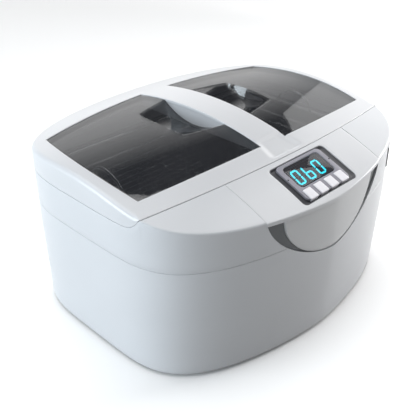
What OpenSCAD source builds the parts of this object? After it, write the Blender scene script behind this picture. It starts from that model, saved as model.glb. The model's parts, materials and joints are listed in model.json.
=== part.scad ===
// Bench-top ultrasonic cleaner with a hinged two-window lid, a steel tank, a wire basket and a
// display panel. Millimetres, +Z up, front towards -Y, origin on the floor below the middle.

/* [Casing] */
// Width of the casing, side to side
body_w = 295; // [290:1:302]
// Reach of the bowed front from the widest line of the casing
front_reach = 131; // [129:0.5:133]
// Reach of the back from the widest line of the casing
back_reach = 111; // [110:0.5:113]
// Height of the crown's highest point
crown_top = 162; // [161:0.5:164]
// Thickness of the casing's plastic walls
wall = 3; // [2.6:0.1:3.2]
// Height of the seam between the lid and the casing
seam_z = 131; // [130:0.5:132]
// Height of the seam between the lower and the upper casing
split_z = 101; // [99:0.5:103]
// Clear gap at every visible seam
seam_gap = 0.4; // [0.3:0.1:0.6]

/* [Tank and basket] */
// Length of the tank inside
tank_l = 238; // [232:1:239]
// Width of the tank inside
tank_w = 138; // [134:1:139]
// Height of the tank's floor above the table
tank_floor = 48; // [48:0.5:49]
// Radius of the arched basket handles
handle_r = 21; // [18:0.5:22]

/* [Control panel] */
// Width of the panel opening
panel_w = 66.6; // [65:0.2:67]
// Length of the panel opening, down the slope
panel_l = 40.8; // [40:0.2:41]
// Travel of a push button
button_travel = 0.8; // [0.4:0.1:0.8]
// Distance between neighbouring push buttons
button_pitch = 13; // [12.6:0.1:13.2]

/* [Hidden] */

// Plan of the casing: two half outlines of different fullness, joined at the widest line
half_w = body_w / 2;
waist_y = 6;
rear_y = waist_y + back_reach;
front_fullness = [1.53, 4.95];
back_fullness = [2.49, 4.24];
plan_steps = 20;
crowding = 1.8;

// Crown: an arch from front to back with a flatter bow from side to side
crown_y = 22.9;
arch_r = 335;
bow_r = 1090;
fine = 360;

// Casing draft: below draft_top the casing shrinks towards its foot, about the back wall
foot_z = 3;
draft = 0.0145;
draft_top = 80;

// Lid
lid_front_r = 714;
lid_front_c = 637;
bridge_half = 15.3;
bridge_flare = 0.75;
bridge_depth = 17;
bridge_wall = 2.5;
bridge_mid = 12;
bridge_l = 142;
window_t = 2.4;
window_sink = 0.6;
window_side_r = 294;
window_side_c = [-158, -3.3];
window_front_c = -628.8;
window_back_r = 833;
window_back_c = 774.2;
window_ends = [-70, 100];
scoop_r = 60;
scoop_y = 16;
scoop_low = 147.9;
scoop_end = 55;
scoop_tilt = 7.5;
thumb_w = 34;
thumb_l = 17;
thumb_depth = 1.5;
thumb_y = -63;
thumb_tilt = 15;

// Hinge at the back: the pin lies just outside the back wall, level with the lid's seam
hinge_x = 40;
hinge_y = rear_y + 4.2;
hinge_z = seam_z;
knuckle_r = 3.8;
pin_r = 1.5;
pin_clearance = 0.06;
knuckle_l = 9;
knuckle_gap = 0.3;
arm_l = 6.5;

// Upper casing
ledge_z = 122;
ledge_t = 3;
deck_t = 3;
riser_t = 2;
cover_half = 72;

// Front badge and the crescent round it, in the plane of the front
tongue_a = 55.5;
tongue_b = 45;
tongue_z = 128;
crescent_a = 71;
crescent_b = 48.2;
crescent_z = 130;
crescent_n = 1.65;
crescent_sink = 1.5;

// Side air grille
grille_y = [-103, -52];
grille_z = [106, 124];
grille_slots = 4;

// Control panel, in its own tilted plane
panel_y = -100;
panel_tilt = 21.5;
panel_sink = 0.5;
panel_z = crown_top - arch_r + sqrt(pow(arch_r, 2) - pow(crown_y - panel_y, 2)) - panel_sink;
panel_shift = -0.7;
corner_r = 4;
plate_w = 53.4;
plate_l = 37.2;
plate_t = 1.8;
tray_depth = 5.6;
window_w = 43.7;
window_l = 22.5;
window_v = 4.5;
button_w = 9;
button_l = 10.3;
button_v = -13.8;
button_proud = 0.6;
stem_end = -7.5;
switch_top = stem_end - button_travel - 0.1;
switch_h = 4.5;
board_t = 1.6;
control_board_top = switch_top - switch_h;
digit_pitch = 12.65;
digit_w = 8;
digit_h = 14.5;
digit_v = -3.4;
segment_t = 1.4;
digit_slant = 5.5;

// Tank, basket and what hangs below
tank_y = 11.5;
tank_t = 1;
tank_corner = 22;
flange_w = 8;
flange_z = ledge_z + ledge_t + 1;
basket_l = 224;
basket_w = 120;
basket_z = 52;
basket_top = 116;
basket_corner = 16;
handle_x = 115.5;
handle_z = 122;
handle_wire = 1.3;
frame_wire = 2.6;
transducer_x = 55;
horn_r = 22;
horn_h = 18;
ring_r = 19;
ring_h = 4;
ring_hole = 6;
electrode_t = 0.5;
mass_h = 11;
bolt_r = 4.9;

// Base
base_t = 3;
foot_x = 92;
foot_y = [-74, 74];
foot_r = 9;
post_spots = [[-130, -44], [130, -44], [-128, 58], [128, 58]];
post_r = 5.5;
post_bore = 3.6;
screw_seat = 88;
base_spots = [[-137, 8], [137, 8], [0, -114.5], [0, 109.5]];
boss_r = 6;
boss_h = 15;

// Driver electronics
driver_y = -86;
driver_l = 150;
driver_w = 40;
driver_z = 14;
standoff_r = 3;

// Fan and mains inlet on the back wall
fan_x = -50;
fan_z = 48;
fan_side = 50;
fan_t = 15;
fan_y = 86;
fan_hub_r = 11;
fan_blades = 7;
inlet_x = 38;
inlet_z = 30;
inlet_pad_y = 117.5;
inlet_depth = 17;
inlet_pin_spots = [[-7, -2], [0, 2], [7, -2]];
pin_tail_y = inlet_pad_y - 30;
lead_dips = [40, 14, 12];

function quarter(a, b, n) =
    [for (i = [0:plan_steps]) let (t = 90 * pow(i / plan_steps, crowding))
        [a * pow(cos(t), 2 / n[0]), b * pow(sin(t), 2 / n[1])]];

// Outline of the casing set in by d, and shrunk by k about the middle of the back wall
function plan(d, k = 1) =
    let (back = quarter(half_w - d, back_reach - d, back_fullness),
         front = quarter(half_w - d, front_reach - d, front_fullness),
         n = plan_steps,
         points = concat(
             [for (i = [0:n]) [back[i].x, waist_y + back[i].y]],
             [for (i = [n - 1:-1:0]) [-back[i].x, waist_y + back[i].y]],
             [for (i = [1:n]) [-front[i].x, waist_y - front[i].y]],
             [for (i = [n - 1:-1:1]) [front[i].x, waist_y - front[i].y]]))
    [for (p = points) [p.x * k, rear_y + (p.y - rear_y) * k]];

function shrink(z) = 1 - draft * max(0, 1 - z / draft_top);
function crown_height(x, y) =
    crown_top - arch_r + sqrt(pow(arch_r, 2) - pow(y - crown_y, 2)) - x * x / (2 * bow_r);

// The drafted foot of the casing between two heights, set in by d
module drafted(z0, z1, d) {
    translate([0, rear_y, z0])
        linear_extrude(z1 - z0, scale = shrink(z1) / shrink(z0))
            translate([0, -rear_y])
                polygon(plan(d, shrink(z0)));
}

// The upright band of the casing wall between two heights
module wall_band(z0, z1, outer, inner) {
    column(z0, z1) difference() {
        polygon(plan(outer));
        polygon(plan(inner));
    }
}

// Everything under the crown surface, lowered by d
module crown(d) {
    translate([0, crown_y, crown_top - bow_r])
        rotate([90, 0, 0])
            rotate_extrude($fn = fine)
                translate([bow_r - arch_r, 0])
                    circle(r = arch_r - d, $fn = fine);
}

module column(z0, z1) {
    translate([0, 0, z0]) linear_extrude(z1 - z0) children();
}

module both_sides() {
    for (s = [0, 1]) mirror([s, 0, 0]) children();
}

module rounded(w, l, r) {
    square([w - 2 * r, l], center = true);
    square([w, l - 2 * r], center = true);
    for (x = [-1, 1], y = [-1, 1])
        translate([x * (w / 2 - r), y * (l / 2 - r)]) circle(r = r, $fn = 48);
}

module screw(r, l, head_r, head_h) {
    cylinder(r = r, h = l, $fn = 32);
    translate([0, 0, l]) difference() {
        cylinder(r = head_r, h = head_h, $fn = 32);
        for (a = [0, 90])
            rotate(a) translate([0, 0, head_h]) cube([head_r, head_r / 4, head_h], center = true);
    }
}

// A lead along one curve, drawn by its two ends and the two points that pull it
function bend(p, t) =
    p[0] * pow(1 - t, 3) + p[1] * 3 * t * pow(1 - t, 2) + p[2] * 3 * t * t * (1 - t) + p[3] * pow(t, 3);

module lead(p, r, rings = 20, sides = 8) {
    centres = [for (i = [0:rings]) bend(p, i / rings)];
    tangents = [for (i = [0:rings]) let (
        v = centres[min(i + 1, rings)] - centres[max(i - 1, 0)]) v / norm(v)];
    points = [for (i = [0:rings]) let (
        s = cross(tangents[i], [0.1, 0.2, 1]), u = s / norm(s), w = cross(tangents[i], u))
        for (k = [0:sides - 1]) centres[i] + r * (u * cos(360 * k / sides) + w * sin(360 * k / sides))];
    around = [for (i = [0:rings - 1], k = [0:sides - 1]) let (m = (k + 1) % sides)
        [i * sides + k, (i + 1) * sides + k, (i + 1) * sides + m, i * sides + m]];
    first = [for (k = [0:sides - 1]) k];
    final = [for (k = [sides - 1:-1:0]) rings * sides + k];
    polyhedron(points, concat([first], around, [final]));
}

// ---- Lid ----

module lid_plan(d) {
    intersection() {
        polygon(plan(d));
        translate([0, lid_front_c]) circle(r = lid_front_r - d, $fn = fine);
    }
}

// Opening of the right-hand window, bounded by arcs and by the bridge
module window_plan(d) {
    near = bridge_half - bridge_flare + d;
    far = bridge_half + bridge_flare + d;
    intersection() {
        translate(window_side_c) circle(r = window_side_r - d, $fn = fine);
        translate([0, window_front_c]) circle(r = lid_front_r - d, $fn = fine);
        translate([0, window_back_c]) circle(r = window_back_r - d, $fn = fine);
        polygon([[near, window_ends[0]], [half_w, window_ends[0]], [half_w, window_ends[1]],
            [far, window_ends[1]]]);
    }
}

module lid_frame() color("white") {
    difference() {
        intersection() {
            column(seam_z + seam_gap, crown_top + 1) lid_plan(seam_gap / 2);
            crown(0);
        }
        intersection() {
            column(seam_z - 1, crown_top + 1) lid_plan(wall);
            crown(wall);
        }
        both_sides() column(seam_z - 1, crown_top + 1) window_plan(0);
        translate([0, thumb_y, crown_height(0, thumb_y) - thumb_depth])
            rotate([thumb_tilt, 0, 0])
                translate([-thumb_w / 2, -thumb_l / 2, 0]) cube([thumb_w, thumb_l, 2 * wall]);
    }
    both_sides() intersection() {
        column(crown_top - bridge_depth, crown_top + 1) difference() {
            translate([0, bridge_mid]) square([2 * bridge_half + 2 * bridge_flare, bridge_l], center = true);
            translate([0, bridge_mid]) square([2 * (bridge_half - bridge_wall), bridge_l + 2], center = true);
            window_plan(0);
            translate([-half_w, -half_w]) square([half_w, 2 * half_w]);
        }
        crown(wall - 0.5);
    }
}

// The dip for the fingers: a trough across the window that shallows away from the bridge
module scoop(grow) {
    intersection() {
        translate([bridge_half, scoop_y, scoop_low + scoop_r])
            rotate([0, 90 - scoop_tilt, 0])
                cylinder(r = scoop_r + grow, h = 160, center = true, $fn = fine);
        translate([0, scoop_y - scoop_r, scoop_low - 20]) cube([scoop_end + grow, 2 * scoop_r, 60]);
    }
}

module lid_window() {
    difference() {
        intersection() {
            column(seam_z, crown_top + 1) window_plan(0.2);
            crown(window_sink);
        }
        difference() {
            crown(window_sink + window_t);
            scoop(window_t);
        }
        scoop(0);
    }
}

module left_lid_window() color([0.2, 0.22, 0.25, 0.6]) mirror([1, 0, 0]) lid_window();
module right_lid_window() color([0.2, 0.22, 0.25, 0.6]) lid_window();

// One hinge knuckle: a short barrel with an arm to the wall beside it
module knuckle(l, arm_z0, arm_z1) {
    difference() {
        union() {
            rotate([0, 90, 0]) cylinder(r = knuckle_r, h = l, center = true, $fn = 64);
            translate([-l / 2, -arm_l, arm_z0]) cube([l, arm_l, arm_z1 - arm_z0]);
        }
        rotate([0, 90, 0]) cylinder(r = pin_r + pin_clearance, h = l + 2, center = true, $fn = 64);
    }
}

module at_hinges() {
    for (s = [-1, 1]) translate([s * hinge_x, hinge_y, hinge_z]) children();
}

module lid_hinge_arms() color("white") difference() {
    at_hinges() knuckle(knuckle_l, seam_gap, knuckle_r);
    column(seam_z - 9, seam_z + 9) polygon(plan(0));
}

module hinge_brackets() color("white") difference() {
    at_hinges()
        for (s = [-1, 1])
            translate([s * (knuckle_l + knuckle_gap), 0, 0]) knuckle(knuckle_l, -knuckle_r, -seam_gap);
    column(seam_z - 9, seam_z + 9) polygon(plan(0));
}

module hinge_pins() color("silver")
    at_hinges()
        rotate([0, 90, 0]) cylinder(r = pin_r, h = 3 * knuckle_l + 2 * knuckle_gap, center = true, $fn = 64);

// ---- Casing ----

// Front outlines, drawn in x and z and run through the front wall
module through_front(z) {
    translate([0, -60, z]) rotate([90, 0, 0]) linear_extrude(80) children();
}

module tongue_outline(d) {
    polygon(concat([for (t = [0:5:180]) [(tongue_a - d) * cos(t), -(tongue_b - d) * sin(t)]],
        [[d - tongue_a, 12], [tongue_a - d, 12]]));
}

module crescent_outline(d) {
    a = crescent_a - d;
    b = crescent_b - d;
    left = [for (t = [0:4:88]) [-a * pow(cos(t), 2 / crescent_n), -b * pow(sin(t), 2 / crescent_n)]];
    right = [for (t = [88:-4:0]) [a * pow(cos(t), 2 / crescent_n), -b * pow(sin(t), 2 / crescent_n)]];
    polygon(concat(left, [[0, -b]], right, [[a, 12], [-a, 12]]));
}

module front_cutout() {
    through_front(crescent_z) crescent_outline(-0.2);
}

module lid_side(d) {
    translate([0, lid_front_c]) circle(r = lid_front_r + d, $fn = fine);
}

module upper_casing() color("white") difference() {
    union() {
        difference() {
            intersection() {
                column(split_z + seam_gap, crown_top) polygon(plan(0));
                crown(0);
            }
            // Room for the lid, and for the tank's flange under it
            column(seam_z, crown_top + 1) lid_side(seam_gap / 2);
            column(ledge_z + ledge_t, crown_top) intersection() {
                polygon(plan(wall));
                lid_side(0);
            }
            // Hollow below the ledge, and hollow below the deck in front of the riser
            column(split_z, ledge_z) polygon(plan(wall));
            intersection() {
                column(split_z, crown_top) difference() {
                    polygon(plan(wall));
                    lid_side(riser_t);
                }
                crown(deck_t + 0.1);
            }
        }
        // Posts that take the casing screws
        for (p = post_spots)
            translate([p.x, p.y, split_z + seam_gap]) cylinder(r = post_r, h = ledge_z - split_z, $fn = 48);
    }
    column(split_z, crown_top) translate([0, tank_y]) rounded(tank_l + 4, tank_w + 4, tank_corner + 2);
    // Seat of the control cover
    difference() {
        translate([-cover_half, -half_w, ledge_z - 10]) cube([2 * cover_half, half_w - 60, 60]);
        crown(deck_t + 0.1);
    }
    front_cutout();
    side_grille_hole(0.2);
    for (p = post_spots) translate([p.x, p.y, 0]) cylinder(r = 1.4, h = split_z + 16, $fn = 32);
}

module side_grille_hole(grow) {
    translate([90, grille_y[0] - grow, grille_z[0] - grow])
        cube([60, grille_y[1] - grille_y[0] + 2 * grow, grille_z[1] - grille_z[0] + 2 * grow]);
}

module side_vent_grille() color("dimgray") difference() {
    intersection() {
        wall_band(grille_z[0] - 1, grille_z[1] + 1, 0.2, wall);
        side_grille_hole(0);
    }
    pitch = (grille_z[1] - grille_z[0]) / grille_slots;
    bay = (grille_y[1] - grille_y[0]) / 2;
    for (i = [0:grille_slots - 1], j = [0, 1])
        translate([90, grille_y[0] + j * bay + 2, grille_z[0] + (i + 0.5) * pitch - 1])
            cube([60, bay - 4, 2]);
}

module lower_casing() color("white") difference() {
    union() {
        difference() {
            drafted(foot_z, draft_top, 0);
            drafted(foot_z - 1, draft_top + 1, wall);
        }
        wall_band(draft_top, split_z, 0, wall);
        // Tongue inside the upper casing, which lines the two up
        wall_band(split_z - 6, split_z + 3, wall + 0.2, wall + 1.8);
        wall_band(split_z - 6, split_z - 4, wall - 0.5, wall + 1.8);
        intersection() {
            drafted(foot_z, draft_top, 1);
            union() {
                for (p = post_spots) {
                    rib = half_w - abs(p.x);
                    translate([p.x > 0 ? p.x : p.x - rib, p.y - 1, foot_z + base_t + 0.2])
                        cube([rib, 2, draft_top]);
                }
                for (p = base_spots)
                    translate([p.x, p.y, foot_z + base_t]) cylinder(r = boss_r, h = boss_h, $fn = 48);
            }
        }
        for (p = post_spots)
            translate([p.x, p.y, foot_z + base_t + 0.2])
                cylinder(r = post_r, h = split_z - foot_z - base_t - 0.2, $fn = 48);
        // Pad that squares the back wall for the mains inlet
        translate([inlet_x - 18, rear_y - 8, inlet_z - 14]) cube([36, inlet_pad_y - rear_y + 8, 28]);
    }
    front_cutout();
    for (p = base_spots) translate([p.x, p.y, 0]) cylinder(r = 1.4, h = 18, $fn = 32);
    for (p = post_spots) translate([p.x, p.y, 0]) {
        cylinder(r = post_bore, h = screw_seat, $fn = 48);
        cylinder(r = 1.8, h = split_z + 1, $fn = 32);
    }
    translate([inlet_x, 0, inlet_z]) rotate([-90, 0, 0]) linear_extrude(half_w) rounded(28.2, 20.6, 2);
    // Air slots in front of the fan
    for (i = [-3:3])
        translate([fan_x - 20, rear_y - 14, fan_z + i * 6 - 1.5]) cube([40, 20, 3]);
}

module control_cover() color("white") difference() {
    intersection() {
        column(ledge_z - 8, crown_top) difference() {
            polygon(plan(-0.4));
            lid_side(seam_gap / 2);
        }
        translate([seam_gap / 2 - cover_half, -half_w, 0]) cube([2 * cover_half - seam_gap, half_w, 200]);
        difference() {
            crown(0);
            crown(deck_t);
        }
    }
    on_panel() translate([0, panel_shift, -10]) linear_extrude(20) rounded(panel_w, panel_l, corner_r);
}

module badge_panel() color("gainsboro") intersection() {
    wall_band(draft_top, seam_z + 2, 0.3, wall);
    through_front(tongue_z) tongue_outline(0.15);
    crown(deck_t + 0.1);
}

module crescent_trim() color("dimgray") difference() {
    intersection() {
        wall_band(draft_top, seam_z + 2, crescent_sink, wall);
        through_front(crescent_z) crescent_outline(0);
        crown(deck_t + 0.1);
    }
    through_front(tongue_z) tongue_outline(0);
}

// ---- Base ----

module base_plate() color("lightgray") difference() {
    drafted(foot_z, foot_z + base_t, wall + 0.3);
    for (i = [-7:7], y = [8, 40])
        translate([i * 10 - 1.5, y, 0]) cube([3, 24, 20]);
    for (p = base_spots) translate([p.x, p.y, 0]) {
        cylinder(r = 1.8, h = 20, $fn = 32);
        cylinder(r = 3.4, h = foot_z + 1.2, $fn = 32);
    }
    for (p = post_spots) translate([p.x, p.y, 0]) cylinder(r = post_bore, h = 20, $fn = 48);
    for (x = [-1, 1], y = foot_y) translate([x * foot_x, y, 0]) cylinder(r = 3, h = 20, $fn = 32);
}

module foot(x, y) color("dimgray") translate([x, y, 0]) {
    cylinder(r = foot_r, h = foot_z, $fn = 64);
    cylinder(r = 2.9, h = foot_z + base_t, $fn = 32);
    translate([0, 0, foot_z + base_t]) cylinder(r = 4, h = 1.2, $fn = 32);
}

module front_left_foot() foot(-foot_x, foot_y[0]);
module front_right_foot() foot(foot_x, foot_y[0]);
module rear_left_foot() foot(-foot_x, foot_y[1]);
module rear_right_foot() foot(foot_x, foot_y[1]);

module base_screws() color("silver")
    for (p = base_spots)
        translate([p.x, p.y, foot_z + 1.2 + 12]) rotate([180, 0, 0]) screw(1.35, 12, 3, 1.1);

module casing_screws() color("silver")
    for (p = post_spots)
        translate([p.x, p.y, split_z + 13]) rotate([180, 0, 0])
            screw(1.35, split_z + 13 - screw_seat, 3.2, 2);

// ---- Control panel ----

module on_panel() {
    translate([0, panel_y, panel_z]) rotate([panel_tilt, 0, 0]) children();
}

module slab(w0, w1) {
    translate([0, 0, w0]) linear_extrude(w1 - w0) children();
}

module at_buttons() {
    for (i = [0:3]) translate([(i - 1.5) * button_pitch, button_v, 0]) children();
}

module control_bezel() color("dimgray") on_panel() difference() {
    union() {
        translate([0, panel_shift, 0]) {
            slab(-tray_depth, -0.9) rounded(panel_w - 0.4, panel_l - 0.4, corner_r - 0.2);
            slab(-tray_depth, -4.4) rounded(panel_w + 5, panel_l - 0.4, corner_r);
        }
        for (x = [-29, 29], y = [-15, 11])
            translate([x, y, control_board_top]) cylinder(r = 2.5, h = -control_board_top - 4.4, $fn = 32);
    }
    slab(-4.2, 1) difference() {
        translate([0, panel_shift]) rounded(panel_w - 1.4, panel_l - 1.4, corner_r - 0.7);
        rounded(plate_w, plate_l, corner_r);
    }
    slab(-plate_t, 2) rounded(plate_w + 1, plate_l + 0.2, corner_r);
    slab(-8, 1) translate([0, window_v]) square([41, 20], center = true);
    slab(-8, 1) at_buttons() square([button_w + 0.6, button_l + 0.6], center = true);
    for (x = [-29, 29], y = [-15, 11])
        translate([x, y, control_board_top - 1]) cylinder(r = 1, h = 6, $fn = 32);
}

module display_plate() color("slategray") on_panel() difference() {
    slab(-plate_t, 0) rounded(plate_w, plate_l, corner_r);
    slab(-3, 1) translate([0, window_v]) rounded(window_w, window_l, corner_r);
    slab(-3, 1) at_buttons() square([button_w + 0.6, button_l + 0.6], center = true);
    for (x = [-1, 1]) translate([x * 25.6, window_v, -3]) cylinder(r = 0.8, h = 4, $fn = 24);
}

module display_window() color([0.1, 0.1, 0.12, 0.7]) on_panel()
    slab(-plate_t, -0.3) translate([0, window_v]) rounded(window_w - 0.2, window_l - 0.2, corner_r - 0.1);

module indicator_lights() color("black") on_panel()
    for (x = [-1, 1])
        translate([x * 25.6, window_v, -plate_t]) cylinder(r = 0.7, h = plate_t - 0.2, $fn = 24);

module led_display() color("black") on_panel()
    slab(control_board_top, -2.6) translate([0, window_v]) square([40, 19], center = true);

// Seven-segment figure: a = top, then clockwise, g = middle
module segment(x, y, l, upright) {
    w = upright ? segment_t : l;
    h = upright ? l : segment_t;
    translate([x, y]) square([w, h], center = true);
}

module figure_of(lit) {
    x = digit_w / 2 - segment_t / 2;
    y = digit_h / 2 - segment_t / 2;
    long = digit_h / 2 - 1.3 * segment_t;
    short = digit_w - 2.4 * segment_t;
    spots = [[0, y, short, false], [x, y / 2, long, true], [x, -y / 2, long, true], [0, -y, short, false],
        [-x, -y / 2, long, true], [-x, y / 2, long, true], [0, 0, short, false]];
    for (i = lit) segment(spots[i][0], spots[i][1], spots[i][2], spots[i][3]);
}

module display_digits() color("cyan") on_panel()
    slab(-2.6, -2.2)
        for (d = [[-1, [0, 1, 2, 3, 4, 5]], [0, [2, 3, 4, 5, 6]], [1, [0, 1, 2, 3, 4, 5]]])
            translate([d[0] * digit_pitch - 0.4, digit_v + digit_h / 2]) rotate(-digit_slant) figure_of(d[1]);

module push_button(i) color("white") on_panel()
    translate([(i - 1.5) * button_pitch, button_v, 0]) {
        slab(-tray_depth - 1.3, button_proud) square([button_w, button_l], center = true);
        slab(-tray_depth - 1.3, -tray_depth - 0.3) square([button_w + 2.4, button_l + 1.6], center = true);
        slab(stem_end, -tray_depth - 1) circle(r = 1.6, $fn = 32);
    }

module start_button() push_button(0);
module stop_button() push_button(1);
module timer_button() push_button(2);
module heat_button() push_button(3);

module tactile_switches() color("black") on_panel() at_buttons() {
    slab(control_board_top, switch_top - 1) square([6, 6], center = true);
    slab(switch_top - 1.5, switch_top) circle(r = 1.7, $fn = 32);
}

module control_board() color("darkgreen") on_panel() difference() {
    slab(control_board_top - board_t, control_board_top)
        translate([0, -2]) square([panel_w - 2, 34], center = true);
    for (x = [-29, 29], y = [-15, 11])
        translate([x, y, -40]) cylinder(r = 1.3, h = 60, $fn = 32);
}

module control_board_screws() color("silver") on_panel()
    for (x = [-29, 29], y = [-15, 11])
        translate([x, y, control_board_top + 4]) rotate([180, 0, 0]) screw(0.95, 4 + board_t, 2, 1.2);

// ---- Tank and basket ----

module tank() color("silver") translate([0, tank_y, 0]) difference() {
    union() {
        column(tank_floor - tank_t, flange_z + tank_t)
            rounded(tank_l + 2 * tank_t, tank_w + 2 * tank_t, tank_corner + tank_t);
        column(flange_z, flange_z + tank_t)
            rounded(tank_l + 2 * flange_w, tank_w + 2 * flange_w, tank_corner + flange_w);
    }
    column(tank_floor, flange_z + 5) rounded(tank_l, tank_w, tank_corner);
}

module tank_gasket() color("whitesmoke") translate([0, tank_y, 0])
    column(ledge_z + ledge_t, flange_z) difference() {
        rounded(tank_l + 2 * flange_w - 1, tank_w + 2 * flange_w - 1, tank_corner + flange_w);
        rounded(tank_l + 5, tank_w + 5, tank_corner + 2);
    }

module basket_ring(z, t) {
    column(z, z + t) difference() {
        rounded(basket_l, basket_w, basket_corner);
        rounded(basket_l - 2 * t, basket_w - 2 * t, basket_corner - t);
    }
}

module basket_mesh() color("gray") translate([0, tank_y, 0]) difference() {
    column(basket_z, basket_top) rounded(basket_l - 5.4, basket_w - 5.4, basket_corner - 2.7);
    column(basket_z + 0.8, basket_top + 1) rounded(basket_l - 7, basket_w - 7, basket_corner - 3.5);
}

module basket_frame() color("silver") translate([0, tank_y, 0]) {
    basket_ring(basket_top - frame_wire, frame_wire);
    basket_ring(basket_z + 1, frame_wire);
    for (x = [-75, -25, 25, 75], y = [-1, 1])
        translate([x - frame_wire / 2, y * (basket_w / 2 - frame_wire / 2) - frame_wire / 2, basket_z - 2])
            cube([frame_wire, frame_wire, basket_top - basket_z]);
    for (x = [-75, 75])
        translate([x - frame_wire / 2, -basket_w / 2, tank_floor + 0.3]) cube([frame_wire, basket_w, 3.5]);
}

module basket_handle(s) color("silver") translate([s * handle_x, tank_y, handle_z]) {
    rotate([90, 0, 90]) rotate_extrude(angle = 180, $fn = 96)
        translate([handle_r, 0]) circle(r = handle_wire, $fn = 24);
    for (y = [-handle_r, handle_r]) translate([0, y, basket_top - 14 - handle_z])
        cylinder(r = handle_wire, h = handle_z - basket_top + 14, $fn = 24);
    translate([-s * 1.6, 0, basket_top - 13 - handle_z])
        cube([3, 2 * handle_r + 2, 2], center = true);
}

module left_basket_handle() basket_handle(-1);
module right_basket_handle() basket_handle(1);

// ---- Transducers and heater, below the tank ----

horn_z = tank_floor - tank_t;
upper_ring_z = horn_z - horn_h - electrode_t;
lower_ring_z = upper_ring_z - ring_h - electrode_t;

module at_transducers() {
    for (s = [-1, 1]) translate([s * transducer_x, tank_y, 0]) children();
}

module down_from(z) {
    translate([0, 0, z]) mirror([0, 0, 1]) children();
}

module horn(s) color("lightsteelblue") translate([s * transducer_x, tank_y, 0]) difference() {
    down_from(horn_z) {
        cylinder(r = horn_r, h = 6, $fn = 96);
        cylinder(r1 = horn_r, r2 = ring_r, h = horn_h, $fn = 96);
    }
    down_from(horn_z - 4) cylinder(r = bolt_r, h = horn_h, $fn = 48);
}

module left_transducer_horn() horn(-1);
module right_transducer_horn() horn(1);

module piezo_rings() color("dimgray") at_transducers()
    for (z = [upper_ring_z, lower_ring_z])
        down_from(z) difference() {
            cylinder(r = ring_r, h = ring_h, $fn = 96);
            translate([0, 0, -1]) cylinder(r = ring_hole, h = ring_h + 2, $fn = 48);
        }

module transducer_electrodes() color("goldenrod") at_transducers()
    for (z = [upper_ring_z + electrode_t, lower_ring_z + electrode_t, lower_ring_z - ring_h])
        down_from(z) difference() {
            union() {
                cylinder(r = ring_r, h = electrode_t, $fn = 96);
                translate([-2, ring_r - 2, 0]) cube([4, 9, electrode_t]);
            }
            translate([0, 0, -1]) cylinder(r = ring_hole, h = 3, $fn = 48);
        }

module back_mass(s) color("gray") translate([s * transducer_x, tank_y, 0])
    down_from(lower_ring_z - ring_h - electrode_t) difference() {
        cylinder(r = ring_r, h = mass_h - 2, $fn = 96);
        translate([0, 0, -1]) cylinder(r = bolt_r + 0.2, h = mass_h + 2, $fn = 48);
    }

module left_back_mass() back_mass(-1);
module right_back_mass() back_mass(1);

module transducer_bolts() color("silver") at_transducers()
    down_from(horn_z - 4.5) {
        length = horn_h + 2 * ring_h + 3 * electrode_t + mass_h - 2 - 4.5;
        cylinder(r = bolt_r - 0.1, h = length, $fn = 48);
        translate([0, 0, length]) cylinder(r = 7.5, h = 2.2, $fn = 6);
    }

module heater_pad() color("orangered")
    translate([-90, tank_y - tank_w / 2 - tank_t - 1.5, 58]) cube([180, 1.5, 46]);

module thermal_cutout() color("silver") translate([70, tank_y + tank_w / 2 + tank_t, 70]) {
    rotate([-90, 0, 0]) cylinder(r = 8, h = 5, $fn = 48);
    for (x = [-3, 2]) translate([x, 4, -1]) cube([1, 8, 4]);
}

// ---- Driver electronics ----

module at_driver_corners() {
    for (x = [-1, 1], y = [-1, 1])
        translate([x * (driver_l / 2 - 5), driver_y + y * (driver_w / 2 - 5), 0]) children();
}

module driver_board() color("darkgreen") {
    difference() {
        translate([-driver_l / 2, driver_y - driver_w / 2, driver_z]) cube([driver_l, driver_w, board_t]);
        at_driver_corners() cylinder(r = 1.7, h = 40, $fn = 32);
    }
    // Board pillars on the base
    at_driver_corners() translate([0, 0, foot_z + base_t]) difference() {
        cylinder(r = standoff_r, h = driver_z - foot_z - base_t, $fn = 32);
        translate([0, 0, 2]) cylinder(r = 1.35, h = 20, $fn = 32);
    }
}

module driver_board_screws() color("silver")
    at_driver_corners() translate([0, 0, driver_z + board_t - 7]) screw(1.3, 7, 2.6, 1.6);

module board_components() color("darkslategray") {
    top = driver_z + board_t;
    // Transformer, filter choke, relay, two capacitors and the lead sockets
    translate([-46, driver_y - 14, top]) cube([32, 28, 26]);
    translate([-6, driver_y, top]) difference() {
        cylinder(r = 12, h = 12, $fn = 64);
        translate([0, 0, -1]) cylinder(r = 5, h = 20, $fn = 48);
    }
    translate([10, driver_y - 9, top]) cube([20, 16, 15]);
    for (y = [-12, 12]) translate([-55, driver_y + y, top]) cylinder(r = 7.5, h = 25, $fn = 48);
    translate([36, driver_y - 18, top]) cube([24, 10, 9]);
    translate([-68, driver_y - 3, top]) cube([5, 6, 6]);
}

module heat_sink() color("silver") translate([34, driver_y - 2, driver_z + board_t]) {
    cube([34, 3, 30]);
    for (i = [0:5]) translate([2 + i * 5.8, 2.9, 0]) cube([1.6, 12, 30]);
}

// ---- Fan and mains inlet ----

module at_fan() {
    translate([fan_x, fan_y, fan_z]) rotate([-90, 0, 0]) children();
}

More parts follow.
